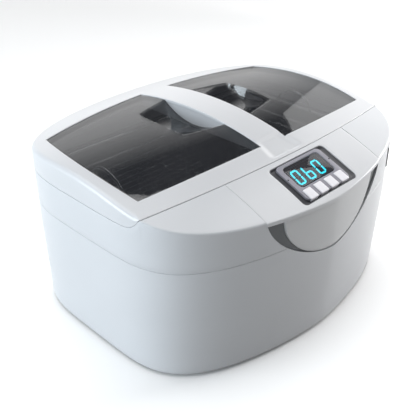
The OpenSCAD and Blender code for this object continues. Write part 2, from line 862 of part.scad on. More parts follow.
module fan_frame() color("dimgray") at_fan() difference() {
    linear_extrude(fan_t) rounded(fan_side, fan_side, 4);
    translate([0, 0, 2.5]) cylinder(r = fan_side / 2 - 1.5, h = fan_t, $fn = 96);
    translate([0, 0, -1]) difference() {
        cylinder(r = fan_side / 2 - 1.5, h = 10, $fn = 96);
        cylinder(r = fan_hub_r, h = 10, $fn = 64);
        for (a = [45, 165, 285]) rotate(a) translate([0, -1.5, 0]) cube([fan_side, 3, 10]);
    }
    translate([0, 0, -1]) cylinder(r = 1.5 + pin_clearance, h = 10, $fn = 48);
    for (x = [-1, 1], y = [-1, 1])
        translate([x * 20, y * 20, -1]) cylinder(r = 1.7, h = fan_t + 2, $fn = 32);
}

module fan_rotor() color("black") at_fan() {
    translate([0, 0, 3.2]) cylinder(r = fan_hub_r - 0.5, h = fan_t - 4, $fn = 64);
    translate([0, 0, 0.3]) cylinder(r = 1.5, h = 4, $fn = 48);
    for (i = [0:fan_blades - 1])
        rotate(i * 360 / fan_blades) translate([8, 0, fan_t / 2 + 1.2])
            rotate([38, 0, 0]) translate([0, -0.7, -6]) cube([14, 1.4, 11]);
}

module ac_inlet() color("black") translate([inlet_x, inlet_pad_y, inlet_z]) rotate([-90, 0, 0])
    difference() {
        union() {
            slab(-23, 0.5) rounded(27.6, 20, 2);
            slab(0, 2.2) rounded(32, 25, 2.5);
        }
        slab(-inlet_depth, 3) rounded(24.4, 16.4, 2);
    }

// The pins are moulded into the inlet in two rows: the earth pin is the lower one, in the middle
module inlet_pins() color("silver") translate([inlet_x, inlet_pad_y, inlet_z]) rotate([-90, 0, 0])
    for (p = inlet_pin_spots)
        slab(pin_tail_y - inlet_pad_y, -4) translate(p) square([2, 4], center = true);

// ---- Leads inside the casing ----

module control_ribbon() color("lightgray") {
    pull = [[-98, 116], [-92, 80], [-116, 50], [driver_y - 15, driver_z + board_t + 0.3]];
    side = [for (i = [0:16]) bend(pull, i / 16)];
    translate([24, 0, 0]) rotate([90, 0, 90]) linear_extrude(10)
        polygon(concat(side, [for (i = [16:-1:0]) side[i] + [0.8, 0.3]]));
}

module mains_lead() color("dimgray")
    for (i = [0:2]) {
        x = inlet_x + inlet_pin_spots[i].x;
        z = inlet_z - inlet_pin_spots[i].y;
        // Crimped terminal behind the pin, then the lead to the driver board
        translate([x - 2, pin_tail_y - 6, z - 2.8]) cube([4, 6, 5.6]);
        lead([[x, pin_tail_y - 3, z], [inlet_x + 48 + 5 * i, 58, lead_dips[i]],
            [112 + 5 * i, driver_y - 8 - 4 * i, 20], [60.4, driver_y - 8.8 - 3.2 * i, 20.5]], 1.4, 24, 8);
    }

module transducer_lead() color("firebrick") {
    end_z = lower_ring_z;
    lead([[-transducer_x, tank_y + 27.5, end_z - 1.5], [-30, 62, 14],
          [-10, 50, 10], [-2, 30, 9]], 1.2, 16, 8);
    lead([[transducer_x, tank_y + 27.5, end_z - 1.5], [30, 62, 14], [10, 50, 10], [2, 30, 9]], 1.2, 16, 8);
    lead([[0, 30, 9], [0, -10, 8], [-4, -50, 9], [-4, driver_y + 21.5, 18]], 1.5, 16, 8);
}

module fan_lead() color("gold")
    lead([[fan_x + 26, fan_y + 4, 28], [fan_x + 40, fan_y - 2, 12], [-130, 30, 14], [-69.3, driver_y, 18.4]],
        1.1, 20, 8);

lid_frame();
left_lid_window();
right_lid_window();
lid_hinge_arms();
hinge_pins();
hinge_brackets();
upper_casing();
lower_casing();
control_cover();
crescent_trim();
badge_panel();
side_vent_grille();
base_plate();
front_left_foot();
front_right_foot();
rear_left_foot();
rear_right_foot();
base_screws();
casing_screws();
control_bezel();
display_plate();
display_window();
led_display();
display_digits();
indicator_lights();
start_button();
stop_button();
timer_button();
heat_button();
tactile_switches();
control_board();
control_board_screws();
control_ribbon();
tank();
tank_gasket();
basket_mesh();
basket_frame();
left_basket_handle();
right_basket_handle();
left_transducer_horn();
right_transducer_horn();
piezo_rings();
transducer_electrodes();
left_back_mass();
right_back_mass();
transducer_bolts();
heater_pad();
thermal_cutout();
driver_board();
board_components();
heat_sink();
driver_board_screws();
fan_frame();
fan_rotor();
ac_inlet();
inlet_pins();
mains_lead();
transducer_lead();
fan_lead();
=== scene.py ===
# An ultrasonic cleaner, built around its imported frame.
# Shapes are worked out in millimetres in the frame's own axes, and become metres in build().
import json
from math import copysign, cos, hypot, pi, radians, sin, sqrt, tan

import bmesh
import bpy
import numpy as np
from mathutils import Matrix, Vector


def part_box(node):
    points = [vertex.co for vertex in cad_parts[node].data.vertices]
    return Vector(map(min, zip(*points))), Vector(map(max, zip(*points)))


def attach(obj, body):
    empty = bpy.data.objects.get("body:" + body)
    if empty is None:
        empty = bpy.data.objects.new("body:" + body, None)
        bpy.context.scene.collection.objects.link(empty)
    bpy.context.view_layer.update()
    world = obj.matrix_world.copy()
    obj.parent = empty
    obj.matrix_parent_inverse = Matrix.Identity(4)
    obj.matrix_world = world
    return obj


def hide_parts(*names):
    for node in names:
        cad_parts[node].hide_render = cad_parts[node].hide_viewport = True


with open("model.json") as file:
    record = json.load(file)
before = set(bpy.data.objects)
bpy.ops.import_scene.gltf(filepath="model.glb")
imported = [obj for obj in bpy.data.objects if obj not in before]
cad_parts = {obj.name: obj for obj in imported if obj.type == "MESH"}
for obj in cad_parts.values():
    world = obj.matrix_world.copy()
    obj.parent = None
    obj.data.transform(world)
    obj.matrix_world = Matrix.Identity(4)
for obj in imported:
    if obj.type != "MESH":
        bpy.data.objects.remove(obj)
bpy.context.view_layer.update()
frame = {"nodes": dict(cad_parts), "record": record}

MM = 0.001
GAP = 0.4
WALL = 3.0


def box(node):
    low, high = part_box(node)
    return low * 1000, high * 1000


# ---- Driving sizes, read from the frame ----

HALF_W = box("lower_casing")[1].x
FRONT_Y = box("lower_casing")[0].y
REAR_Y = box("upper_casing")[1].y
SPLIT_Z = box("upper_casing")[0].z - GAP
SEAM_Z = box("lid_frame")[0].z - GAP
CROWN_TOP = box("lid_frame")[1].z
FOOT_Z = box("lower_casing")[0].z
TANK_LOW, TANK_HIGH = box("tank")
BASKET_LOW, BASKET_HIGH = box("basket_frame")
PLATE_LOW, PLATE_HIGH = box("display_plate")

# ---- The outline and the crown, as in the CAD model ----

WAIST_Y = 6.0
FRONT_FULLNESS = (1.53, 4.95)
BACK_FULLNESS = (2.49, 4.24)
DRAFT = 0.0145
DRAFT_TOP = 80.0
CROWN_Y = 22.9
ARCH_R = 335.0
BOW_R = 1090.0
SEAM_R = 714.0
SEAM_C = 637.0
HOOK_Y = -45.0
HOOK_POWER = 2.6
COVER_HALF = 72.0
SPACING = 2.4


def crown(x, y):
    rho = BOW_R - ARCH_R + sqrt(ARCH_R**2 - (y - CROWN_Y) ** 2)
    return CROWN_TOP - BOW_R + sqrt(rho**2 - x * x)


def shrink(z):
    return 1 - DRAFT * max(0.0, 1 - z / DRAFT_TOP)


def seam_y(x, grow=0.0):
    """Where the lid's front edge lies; a positive grow moves it towards the front."""
    return SEAM_C - sqrt((SEAM_R + grow) ** 2 - x * x)


def quarter(a, b, fullness, steps=900):
    points = []
    for i in range(steps + 1):
        t = pi / 2 * (i / steps) ** 2.2
        points.append((a * cos(t) ** (2 / fullness[0]), b * sin(t) ** (2 / fullness[1])))
    return points


class HalfOutline:
    """The right half of the outline, from the middle of the back to the middle of the front."""

    def __init__(self):
        back = quarter(HALF_W, REAR_Y - WAIST_Y, BACK_FULLNESS)[::-1]
        front = quarter(HALF_W, WAIST_Y - FRONT_Y, FRONT_FULLNESS)[1:]
        self.x = np.array([p[0] for p in back] + [p[0] for p in front])
        self.y = np.array([WAIST_Y + p[1] for p in back] + [WAIST_Y - p[1] for p in front])
        steps = np.hypot(np.diff(self.x), np.diff(self.y))
        self.s = np.concatenate([[0.0], np.cumsum(steps)])
        self.length = self.s[-1]
        self.waist = len(back) - 1

    def point(self, s):
        return Vector((np.interp(s, self.s, self.x), np.interp(s, self.s, self.y)))

    def normal(self, s):
        ahead, behind = self.point(min(s + 1.5, self.length)), self.point(max(s - 1.5, 0.0))
        along = ahead - behind
        if s <= 0 or s >= self.length:
            along.y = 0
        return Vector((-along.y, along.x)).normalized()

    def at_y(self, y):
        return float(np.interp(-y, -self.y, self.s))

    def at_front_x(self, x):
        return float(np.interp(-x, -self.x[self.waist:], self.s[self.waist:]))

    def corner(self):
        """Where the lid's front edge meets the outline."""
        for s in np.arange(self.at_y(-40), self.length, 0.05):
            p = self.point(s)
            if p.y <= seam_y(p.x):
                return float(s)

    def samples(self, stations):
        values = [stations[0]]
        for start, end in zip(stations, stations[1:]):
            count = max(1, round((end - start) / SPACING))
            values += [start + (end - start) * (i + 1) / count for i in range(count)]
        return values


HALF = HalfOutline()
CORNER_S = HALF.corner()
CORNER = HALF.point(CORNER_S)
HOOK_S = HALF.at_y(HOOK_Y)
CORNER_Z = crown(CORNER.x, CORNER.y)
COVER_S = [HALF.at_front_x(COVER_HALF + d) for d in (0.1, -0.1)]
STATIONS = [0.0, HOOK_S, CORNER_S] + COVER_S + [HALF.length]


def whole_outline():
    right = [(HALF.point(s), HALF.normal(s)) for s in HALF.samples(STATIONS)]
    left = [(Vector((-p.x, p.y)), Vector((-n.x, n.y))) for p, n in right[-2:0:-1]]
    return right + left


OUTLINE = whole_outline()


def hook(y):
    """Height of the side seam: level at the back, and turning up to meet the lid's front edge."""
    if y >= HOOK_Y:
        return SEAM_Z
    run = min(1.0, (HOOK_Y - y) / (HOOK_Y - CORNER.y))
    return SEAM_Z + (CORNER_Z - SEAM_Z) * run**HOOK_POWER


def drafted(q, z):
    k = shrink(z)
    return Vector((q.x * k, REAR_Y + (q.y - REAR_Y) * k, z))


def ring(inset, z):
    return [drafted(p - n * inset, z) for p, n in OUTLINE]


def front_y(x, inset=0.0):
    s = HALF.at_front_x(abs(x))
    n = HALF.normal(s)
    return HALF.point(s).y - inset / n.y if n.y else HALF.point(s).y + inset


# ---- Loops of points ----

# Angles that step round a quarter turn
ROUNDING = (0.4, 0.8, 1.2, pi / 2)


def arc(radius, angles=ROUNDING):
    """For each step round a quarter turn, what is left of the radius one way and the other."""
    return [(radius * (1 - sin(a)), radius * (1 - cos(a))) for a in angles]


def flat(points):
    return [Vector((p.x, p.y)) for p in points]


def raised(loop, height):
    """The points of a flat loop, each lifted to its own height."""
    return [Vector((q.x, q.y, height(q))) for q in loop]


def between(first, second, share):
    return [a.lerp(b, share) for a, b in zip(first, second)]


def on_crown(q):
    return crown(q.x, q.y)


def under_crown(q):
    return crown(q.x, q.y) - WALL


# ---- Building meshes ----

class Shape:
    """Points and faces in millimetres."""

    def __init__(self):
        self.points = []
        self.faces = []

    def loops(self, rings, wrap=False, caps=False):
        """Quads between closed loops of equal length."""
        n, base = len(rings[0]), len(self.points)
        for loop in rings:
            self.points.extend(loop)
        for i in range(len(rings) if wrap else len(rings) - 1):
            a, b = base + i * n, base + (i + 1) % len(rings) * n
            for j in range(n):
                k = (j + 1) % n
                self.faces.append((a + j, a + k, b + k, b + j))
        if caps:
            self.faces.append(tuple(range(base, base + n)))
            self.faces.append(tuple(range(base + (len(rings) - 1) * n, base + len(rings) * n)))
        return self

    def strip(self, rows):
        """Quads between open rows of equal length."""
        n, base = len(rows[0]), len(self.points)
        for row in rows:
            self.points.extend(row)
        for i in range(len(rows) - 1):
            a, b = base + i * n, base + (i + 1) * n
            for j in range(n - 1):
                self.faces.append((a + j, a + j + 1, b + j + 1, b + j))
        return self

    def add(self, other):
        base = len(self.points)
        self.points += other.points
        self.faces += [tuple(base + i for i in f) for f in other.faces]
        return self

    def close(self, count):
        """A face over the last ring, which has this many points."""
        last = len(self.points)
        self.faces.append(tuple(range(last - count, last)))

    def mirrored(self):
        """Adds the same shape on the other side of the middle plane."""
        base = len(self.points)
        self.points += [Vector((-p.x, p.y, p.z)) for p in self.points]
        self.faces += [tuple(base + i for i in reversed(f)) for f in self.faces]
        return self

    def turned(self):
        """The shape on the other side of the middle plane instead."""
        self.points = [Vector((-p.x, p.y, p.z)) for p in self.points]
        return self


def show(name, data):
    """A new object in the scene."""
    thing = bpy.data.objects.new(name, data)
    bpy.context.scene.collection.objects.link(thing)
    return thing


def build(name, shape):
    mesh = bpy.data.meshes.new(name)
    mesh.from_pydata([p * MM for p in shape.points], [], shape.faces)
    work = bmesh.new()
    work.from_mesh(mesh)
    bmesh.ops.remove_doubles(work, verts=work.verts, dist=1e-6)
    bmesh.ops.recalc_face_normals(work, faces=work.faces)
    work.to_mesh(mesh)
    work.free()
    return show(name, mesh)


def apply_modifiers(piece):
    bpy.context.view_layer.update()
    graph = bpy.context.evaluated_depsgraph_get()
    mesh = bpy.data.meshes.new_from_object(piece.evaluated_get(graph))
    piece.modifiers.clear()
    old, piece.data = piece.data, mesh
    bpy.data.meshes.remove(old)


def cut(piece, shape):
    tool = build("tool", shape)
    modifier = piece.modifiers.new("cut", "BOOLEAN")
    modifier.object = tool
    modifier.operation = "DIFFERENCE"
    modifier.solver = "EXACT"
    apply_modifiers(piece)
    bpy.data.objects.remove(tool)


def settle(piece, body, slot, replaced=(), sharp=34):
    """Shades a finished piece, gives it its slot's material and fixes it to its body."""
    piece.data.shade_smooth()
    piece.data.set_sharp_from_angle(angle=radians(sharp))
    piece.data.materials.clear()
    piece.data.materials.append(M[slot])
    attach(piece, body)
    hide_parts(*replaced)


def make(name, shape, body, slot, replaced=(), sharp=34):
    settle(build(name, shape), body, slot, replaced, sharp)


def rounded_loop(w, l, r, corner=8, side=1):
    """A rounded rectangle about the origin, anticlockwise from the right-hand side."""
    points = []
    r = min(r, w / 2 - 0.01, l / 2 - 0.01)
    centres = [(w / 2 - r, l / 2 - r), (r - w / 2, l / 2 - r), (r - w / 2, r - l / 2), (w / 2 - r, r - l / 2)]
    for k, (cx, cy) in enumerate(centres):
        for i in range(corner + 1):
            a = pi / 2 * (k + i / corner)
            points.append(Vector((cx + r * cos(a), cy + r * sin(a))))
        nx, ny = centres[(k + 1) % 4]
        a = pi / 2 * (k + 1)
        end = Vector((nx + r * cos(a), ny + r * sin(a)))
        start = points[-1]
        points += [start.lerp(end, i / (side + 1)) for i in range(1, side + 1)]
    return points


def block(sections, place):
    """A solid through rounded rectangles (w, l, r, height) stacked along a local axis."""
    rings = [[place(p.x, p.y, h) for p in rounded_loop(w, l, r)] for w, l, r, h in sections]
    return Shape().loops(rings, caps=True)


def add_tube(shape, path, radius, sides=8, closed=False):
    """A round wire along a path of points."""
    n = len(path)
    rings = []
    side = None
    for i, p in enumerate(path):
        ahead = path[(i + 1) % n] if closed or i < n - 1 else p
        behind = path[i - 1] if closed or i else p
        along = (ahead - behind).normalized()
        if side is None:
            side = along.cross(Vector((0.3, 0.2, 0.9))).normalized()
        side = (side - along * side.dot(along)).normalized()
        up = along.cross(side)
        turns = [2 * pi * k / sides for k in range(sides)]
        rings.append([p + side * (radius * cos(a)) + up * (radius * sin(a)) for a in turns])
    if closed:
        shape.loops(rings + [rings[0]])
    else:
        shape.loops(rings, caps=True)
    return shape


def add_rod(shape, x, y, z0, z1, radius, sides=32):
    return add_tube(shape, [Vector((x, y, z0)), Vector((x, y, z1))], radius, sides)


def add_box(shape, low, high):
    corners = [(low[0], low[1]), (high[0], low[1]), (high[0], high[1]), (low[0], high[1])]
    rings = [[Vector((x, y, z)) for x, y in corners] for z in (low[2], high[2])]
    return shape.loops(rings, caps=True)


def lathe(profile, place, sides=64):
    """A solid of revolution from (radius, height) pairs about a local axis."""
    rings = []
    for r, h in profile:
        rings.append([
            place(r * cos(2 * pi * k / sides), r * sin(2 * pi * k / sides), h)
            for k in range(sides)])
    return Shape().loops(rings, caps=True)


# ---- Materials ----

def add_node(tree, kind, inputs, **settings):
    """A shader node: an input that is another node's socket is linked, and any other is set."""
    node = tree.nodes.new("ShaderNode" + kind)
    for setting, value in settings.items():
        setattr(node, setting, value)
    for socket, value in inputs.items():
        if isinstance(value, bpy.types.NodeSocket):
            tree.links.new(value, node.inputs[socket])
        else:
            node.inputs[socket].default_value = value
    return node


def map_range(tree, value, source, target):
    ends = dict(zip(("From Min", "From Max", "To Min", "To Max"), source + target))
    return add_node(tree, "MapRange", {"Value": value, **ends}).outputs["Result"]


class Nodes:
    """A material's node tree, with short calls for the few nodes that the finishes use."""

    def __init__(self, name):
        self.material = bpy.data.materials.new(name)
        self.material.use_nodes = True
        self.tree = self.material.node_tree
        self.shader = self.tree.nodes["Principled BSDF"]
        self.place = self.tree.nodes.new("ShaderNodeTexCoord").outputs["Object"]

    def noise(self, scale, detail=3.0, stretch=None):
        place = self.place
        if stretch:
            place = add_node(self.tree, "Mapping", {"Vector": place, "Scale": stretch}).outputs["Vector"]
        inputs = {"Vector": place, "Scale": scale, "Detail": detail}
        return add_node(self.tree, "TexNoise", inputs).outputs["Fac"]

    def ramp(self, value, low, high):
        node = add_node(self.tree, "ValToRGB", {"Fac": value})
        for element, position, colour in zip(node.color_ramp.elements, (0.35, 0.65), (low, high)):
            element.position = position
            element.color = (*colour, 1)
        return node.outputs["Color"]

    def spread(self, value, low, high):
        return map_range(self.tree, value, (0.3, 0.7), (low, high))

    def bump(self, height, strength, distance):
        inputs = {"Height": height, "Strength": strength, "Distance": distance}
        self.feed(add_node(self.tree, "Bump", inputs).outputs["Normal"], "Normal")

    def feed(self, value, socket):
        self.tree.links.new(value, self.shader.inputs[socket])

    def fix(self, **values):
        for name, value in values.items():
            self.shader.inputs[name.replace("_", " ")].default_value = value


def finish(name, colour, rough, vary=0.03, grain=900.0, relief=0.06, depth=0.0002, stretch=None,
           uneven=0.15, **fixed):
    """A surface with slight colour drift, uneven gloss and a fine relief."""
    n = Nodes(name)
    broad = n.noise(14.0, 4.0)
    fine = n.noise(grain, 2.0, stretch)
    dark = [c * (1 - vary) for c in colour]
    light = [min(1.0, c * (1 + vary)) for c in colour]
    n.feed(n.ramp(broad, dark, light), "Base Color")
    n.feed(n.spread(n.noise(60.0, 3.0), rough * (1 - uneven), rough * (1 + uneven)), "Roughness")
    n.bump(fine, relief, depth)
    n.fix(**fixed)
    return n.material


def smoked(name, colour, alpha, ior):
    """Dark clear plastic, with faint rubbing marks in its gloss."""
    n = Nodes(name)
    n.feed(n.ramp(n.noise(9.0), [c * 0.9 for c in colour], colour), "Base Color")
    n.feed(n.spread(n.noise(35.0, 6.0), 0.02, 0.055), "Roughness")
    n.bump(n.noise(22.0, 2.0), 0.05, 0.0004)
    n.fix(Alpha=alpha, IOR=ior)
    return n.material


def lit(name, colour, strength):
    """A glowing segment, a little uneven in brightness."""
    n = Nodes(name)
    n.feed(n.ramp(n.noise(160.0), [c * 0.86 for c in colour], colour), "Emission Color")
    n.feed(n.spread(n.noise(300.0), 0.32, 0.4), "Roughness")
    n.fix(Emission_Strength=strength)
    n.shader.inputs["Base Color"].default_value = (*[c * 0.3 for c in colour], 1)
    n.bump(n.noise(1500.0), 0.05, 0.0001)
    return n.material


WHITE = dict(relief=0.03, grain=420.0, depth=0.00005, uneven=0.05, IOR=1.6)
M = {
    "lid_plastic": finish("white_lid", (0.585, 0.595, 0.615), 0.30, 0.012, **WHITE),
    "casing_plastic": finish("white_casing", (0.58, 0.595, 0.618), 0.30, 0.012, **WHITE),
    "cover_plastic": finish("white_cover", (0.585, 0.595, 0.615), 0.30, 0.012, **WHITE),
    "badge_plastic": finish("grey_badge", (0.60, 0.61, 0.62), 0.36, 0.015, 1100.0),
    "dark_trim": finish("dark_trim", (0.045, 0.052, 0.058), 0.34, 0.10, 1500.0, 0.10),
    "base_plastic": finish("base_grey", (0.50, 0.51, 0.53), 0.55, 0.04, 1400.0, 0.25),
    "foot_rubber": finish("rubber", (0.028, 0.028, 0.03), 0.72, 0.2, 900.0, 0.4),
    "screw_steel": finish("zinc", (0.60, 0.60, 0.62), 0.36, 0.08, 400.0, 0.1, Metallic=1.0),
    "bezel_plastic": finish("bezel_dark", (0.085, 0.086, 0.095), 0.33, 0.1, 1500.0, 0.12),
    "plate_plastic": finish("plate_grey", (0.25, 0.245, 0.285), 0.38, 0.04, 1600.0, 0.12),
    "display_lens": smoked("display_lens", (0.05, 0.048, 0.056), 0.7, 1.5),
    "display_body": finish("display_black", (0.010, 0.010, 0.012), 0.5, 0.2, 1200.0),
    "digit_light": lit("digit_cyan", (0.015, 0.66, 0.82), 16),
    "indicator_dark": finish("lamp_dark", (0.012, 0.012, 0.014), 0.12, 0.2),
    "button_plastic": finish("button_white", (0.76, 0.75, 0.79), 0.34, 0.015, 1200.0, 0.07),
    "switch_plastic": finish("switch_black", (0.02, 0.02, 0.02), 0.45, 0.2),
    "circuit_board": finish("solder_mask", (0.02, 0.16, 0.07), 0.36, 0.25, 260.0, 0.2),
    "ribbon_plastic": finish("flat_cable", (0.5, 0.5, 0.51), 0.45, 0.08, 500.0, 0.4, stretch=(1, 0.02, 0.02)),
    "tank_steel": finish("drawn_steel", (0.52, 0.53, 0.54), 0.16, 0.08, 38.0, 0.35, 0.0022,
                         stretch=(0.45, 1.2, 2.2), Metallic=1.0),
    "gasket_rubber": finish("silicone_white", (0.70, 0.70, 0.69), 0.5, 0.05, 700.0, 0.2),
    "basket_wire": finish("steel_wire", (0.62, 0.63, 0.64), 0.2, 0.06, 500.0, 0.12, Metallic=1.0),
    "horn_aluminium": finish("turned_aluminium", (0.70, 0.71, 0.73), 0.36, 0.06, 300.0, 0.3,
                             stretch=(0.1, 0.1, 8), Metallic=1.0),
    "piezo_ceramic": finish("piezo", (0.13, 0.12, 0.11), 0.6, 0.12, 500.0, 0.3),
    "electrode_brass": finish("brass", (0.72, 0.53, 0.22), 0.34, 0.1, 400.0, 0.15, Metallic=1.0),
    "mass_steel": finish("turned_steel", (0.40, 0.40, 0.41), 0.36, 0.08, 300.0, 0.3,
                         stretch=(0.1, 0.1, 8), Metallic=1.0),
    "heater_silicone": finish("heater_red", (0.50, 0.13, 0.05), 0.6, 0.1, 350.0, 0.5),
    "component_plastic": finish("black_parts", (0.03, 0.03, 0.034), 0.5, 0.2, 900.0, 0.2),
    "inlet_plastic": finish("black_nylon", (0.015, 0.015, 0.016), 0.45, 0.2, 1200.0, 0.2),
    "pin_brass": finish("nickel_pins", (0.70, 0.67, 0.58), 0.2, 0.05, 400.0, 0.1, Metallic=1.0),
    "mains_insulation": finish("dark_pvc", (0.05, 0.05, 0.055), 0.5, 0.1, 700.0, 0.2),
    "red_insulation": finish("red_pvc", (0.45, 0.03, 0.02), 0.45, 0.1, 700.0, 0.2),
    "yellow_insulation": finish("yellow_pvc", (0.72, 0.50, 0.04), 0.45, 0.1, 700.0, 0.2),
    "smoked_window": smoked("smoked_window", (0.012, 0.014, 0.020), 0.48, 2.0),
}

for entry in frame["record"]["subparts"]:
    node = frame["nodes"][entry["node"]]
    for held in node.material_slots:
        held.material = M[entry["material_slot"]]


# ---- Front outlines, in x and height ----

TONGUE_A, TONGUE_B, TONGUE_Z = 55.5, 45.0, 128.0
CRESCENT_A, CRESCENT_B, CRESCENT_Z, CRESCENT_N = 71.0, 48.2, 130.0, 1.65
CRESCENT_SINK = 1.5
DECK_DROP = 3.1
# How far the opening's tool reaches in front of the front wall and behind it
OPENING_REACH = (-15, 28)
OPENING_TOP = 170


def tongue_edge(f, grow=0.0):
    """Along the lower edge of the badge, from left (0) to right (1)."""
    t = pi * (1 - f)
    return Vector(((TONGUE_A + grow) * cos(t), TONGUE_Z - (TONGUE_B + grow) * sin(t)))


def crescent_edge(f, grow=0.0):
    t = pi * (1 - f)
    c, s = cos(t), sin(t)
    x = copysign((CRESCENT_A + grow) * abs(c) ** (2 / CRESCENT_N), c)
    return Vector((x, CRESCENT_Z - (CRESCENT_B + grow) * s ** (2 / CRESCENT_N)))


def front_opening(grow):
    """A tool that cuts the crescent's outline through the front wall."""
    edge = [crescent_edge(i / 120, grow) for i in range(121)]
    outline = edge + [Vector((CRESCENT_A + grow, OPENING_TOP)), Vector((-CRESCENT_A - grow, OPENING_TOP))]
    rings = [[Vector((p.x, FRONT_Y + reach, p.y)) for p in outline] for reach in OPENING_REACH]
    return Shape().loops(rings, caps=True)


# ---- Lower casing ----

POST_SPOTS = [(-130, -44), (130, -44), (-128, 58), (128, 58)]
POST_R = 5.5
SLOT_PITCH, SLOT_HALF_L, SLOT_HALF_H = 6, 20, 1.5
INLET_HOLE = (28.2, 20.6, 2)
INLET_LOW, INLET_HIGH = box("ac_inlet")
FAN_LOW, FAN_HIGH = box("fan_frame")


def lower_casing():
    edge = 1.3
    rings = [ring(WALL, FOOT_Z), ring(edge, FOOT_Z)]
    rings += [ring(inward, FOOT_Z + up) for inward, up in arc(edge, (0.5, 1.0, pi / 2))]
    wall_h, steps = SPLIT_Z - FOOT_Z - edge - 0.5, 22
    rings += [ring(0, FOOT_Z + edge + wall_h * i / steps) for i in range(1, steps + 1)]
    rings += [ring(0, SPLIT_Z - 0.1), ring(0.08, SPLIT_Z), ring(0.2, SPLIT_Z + 0.08),
              ring(WALL, SPLIT_Z + 0.08)]
    piece = build("lower_casing_shell", Shape().loops(rings, wrap=True))
    cut(piece, front_opening(0.2))
    # Air slots in front of the fan, and the way through for the mains inlet
    middle = (FAN_LOW + FAN_HIGH) / 2
    slots = Shape()
    for i in range(-3, 4):
        z = middle.z + i * SLOT_PITCH
        add_box(slots, (middle.x - SLOT_HALF_L, REAR_Y - 14, z - SLOT_HALF_H),
                (middle.x + SLOT_HALF_L, REAR_Y + 10, z + SLOT_HALF_H))
    cut(piece, slots)
    inlet = (INLET_LOW + INLET_HIGH) / 2

    def through(u, v, w):
        return Vector((inlet.x + u, w, inlet.z + v))

    hole = [(*INLET_HOLE, REAR_Y - 30), (*INLET_HOLE, REAR_Y + 20)]
    cut(piece, block(hole, through))
    face = INLET_HIGH.y - 2.2
    pad_sections = [(36, 28, 3, REAR_Y - 8), (36, 28, 3, face - 0.5), (35, 27, 3, face)]
    pad = build("pad", block(pad_sections, through))
    cut(pad, block(hole, through))
    # The tongue that lines up the two casings, and the posts for the casing screws
    corners = ((3.2, SPLIT_Z - 6), (3.2, SPLIT_Z + 3), (4.8, SPLIT_Z + 3), (4.8, SPLIT_Z - 6))
    inside = Shape().loops([ring(d, z) for d, z in corners], wrap=True)
    for x, y in POST_SPOTS:
        add_rod(inside, x, y, FOOT_Z + 3.2, SPLIT_Z, POST_R)
    cut_inside = build("inside", inside)
    cut(cut_inside, front_opening(0.2))
    join([piece, pad, cut_inside])
    settle(piece, "cabinet", "casing_plastic", ["lower_casing"])


def join(objects):
    """Puts the meshes of the later objects into the first one."""
    work = bmesh.new()
    for o in objects:
        work.from_mesh(o.data)
    work.to_mesh(objects[0].data)
    work.free()
    for o in objects[1:]:
        bpy.data.objects.remove(o)


# ---- Upper casing ----

LEDGE_TOP = box("tank_gasket")[0].z
LEDGE_T = 3.0
TANK_HOLE = (242.0, 142.0, 24.0)
TANK_Y = (TANK_LOW.y + TANK_HIGH.y) / 2


def outside_rounded(x, y, w, l, r):
    qx, qy = abs(x) - w / 2 + r, abs(y) - l / 2 + r
    return hypot(max(qx, 0), max(qy, 0)) + min(max(qx, qy), 0) - r


def onto_tank_hole(p):
    """The point of the tank hole's edge that lies in the same direction from its middle."""
    dx, dy = p.x, p.y - TANK_Y
    low, high = 0.0, 1.0
    for _ in range(40):
        k = (low + high) / 2
        if outside_rounded(dx * k, dy * k, *TANK_HOLE) > 0:
            high = k
        else:
            low = k
    return Vector((dx * high, TANK_Y + dy * high))


def rim_point(p, n):
    """Inner edge of the casing's top: the lid's front seam, or the inside of the rear rim."""
    if p.y <= CORNER.y:
        return Vector((p.x, seam_y(p.x, GAP / 2)))
    q = p - n * WALL
    q.y = max(q.y, seam_y(q.x, GAP / 2))
    return q


def casing_top(p, q):
    """Height of the casing's top at q, for the outline point p."""
    if p.y > CORNER.y:
        return hook(p.y)
    drop = DECK_DROP if abs(p.x) < COVER_HALF else 0.0
    return crown(q.x, q.y) - drop


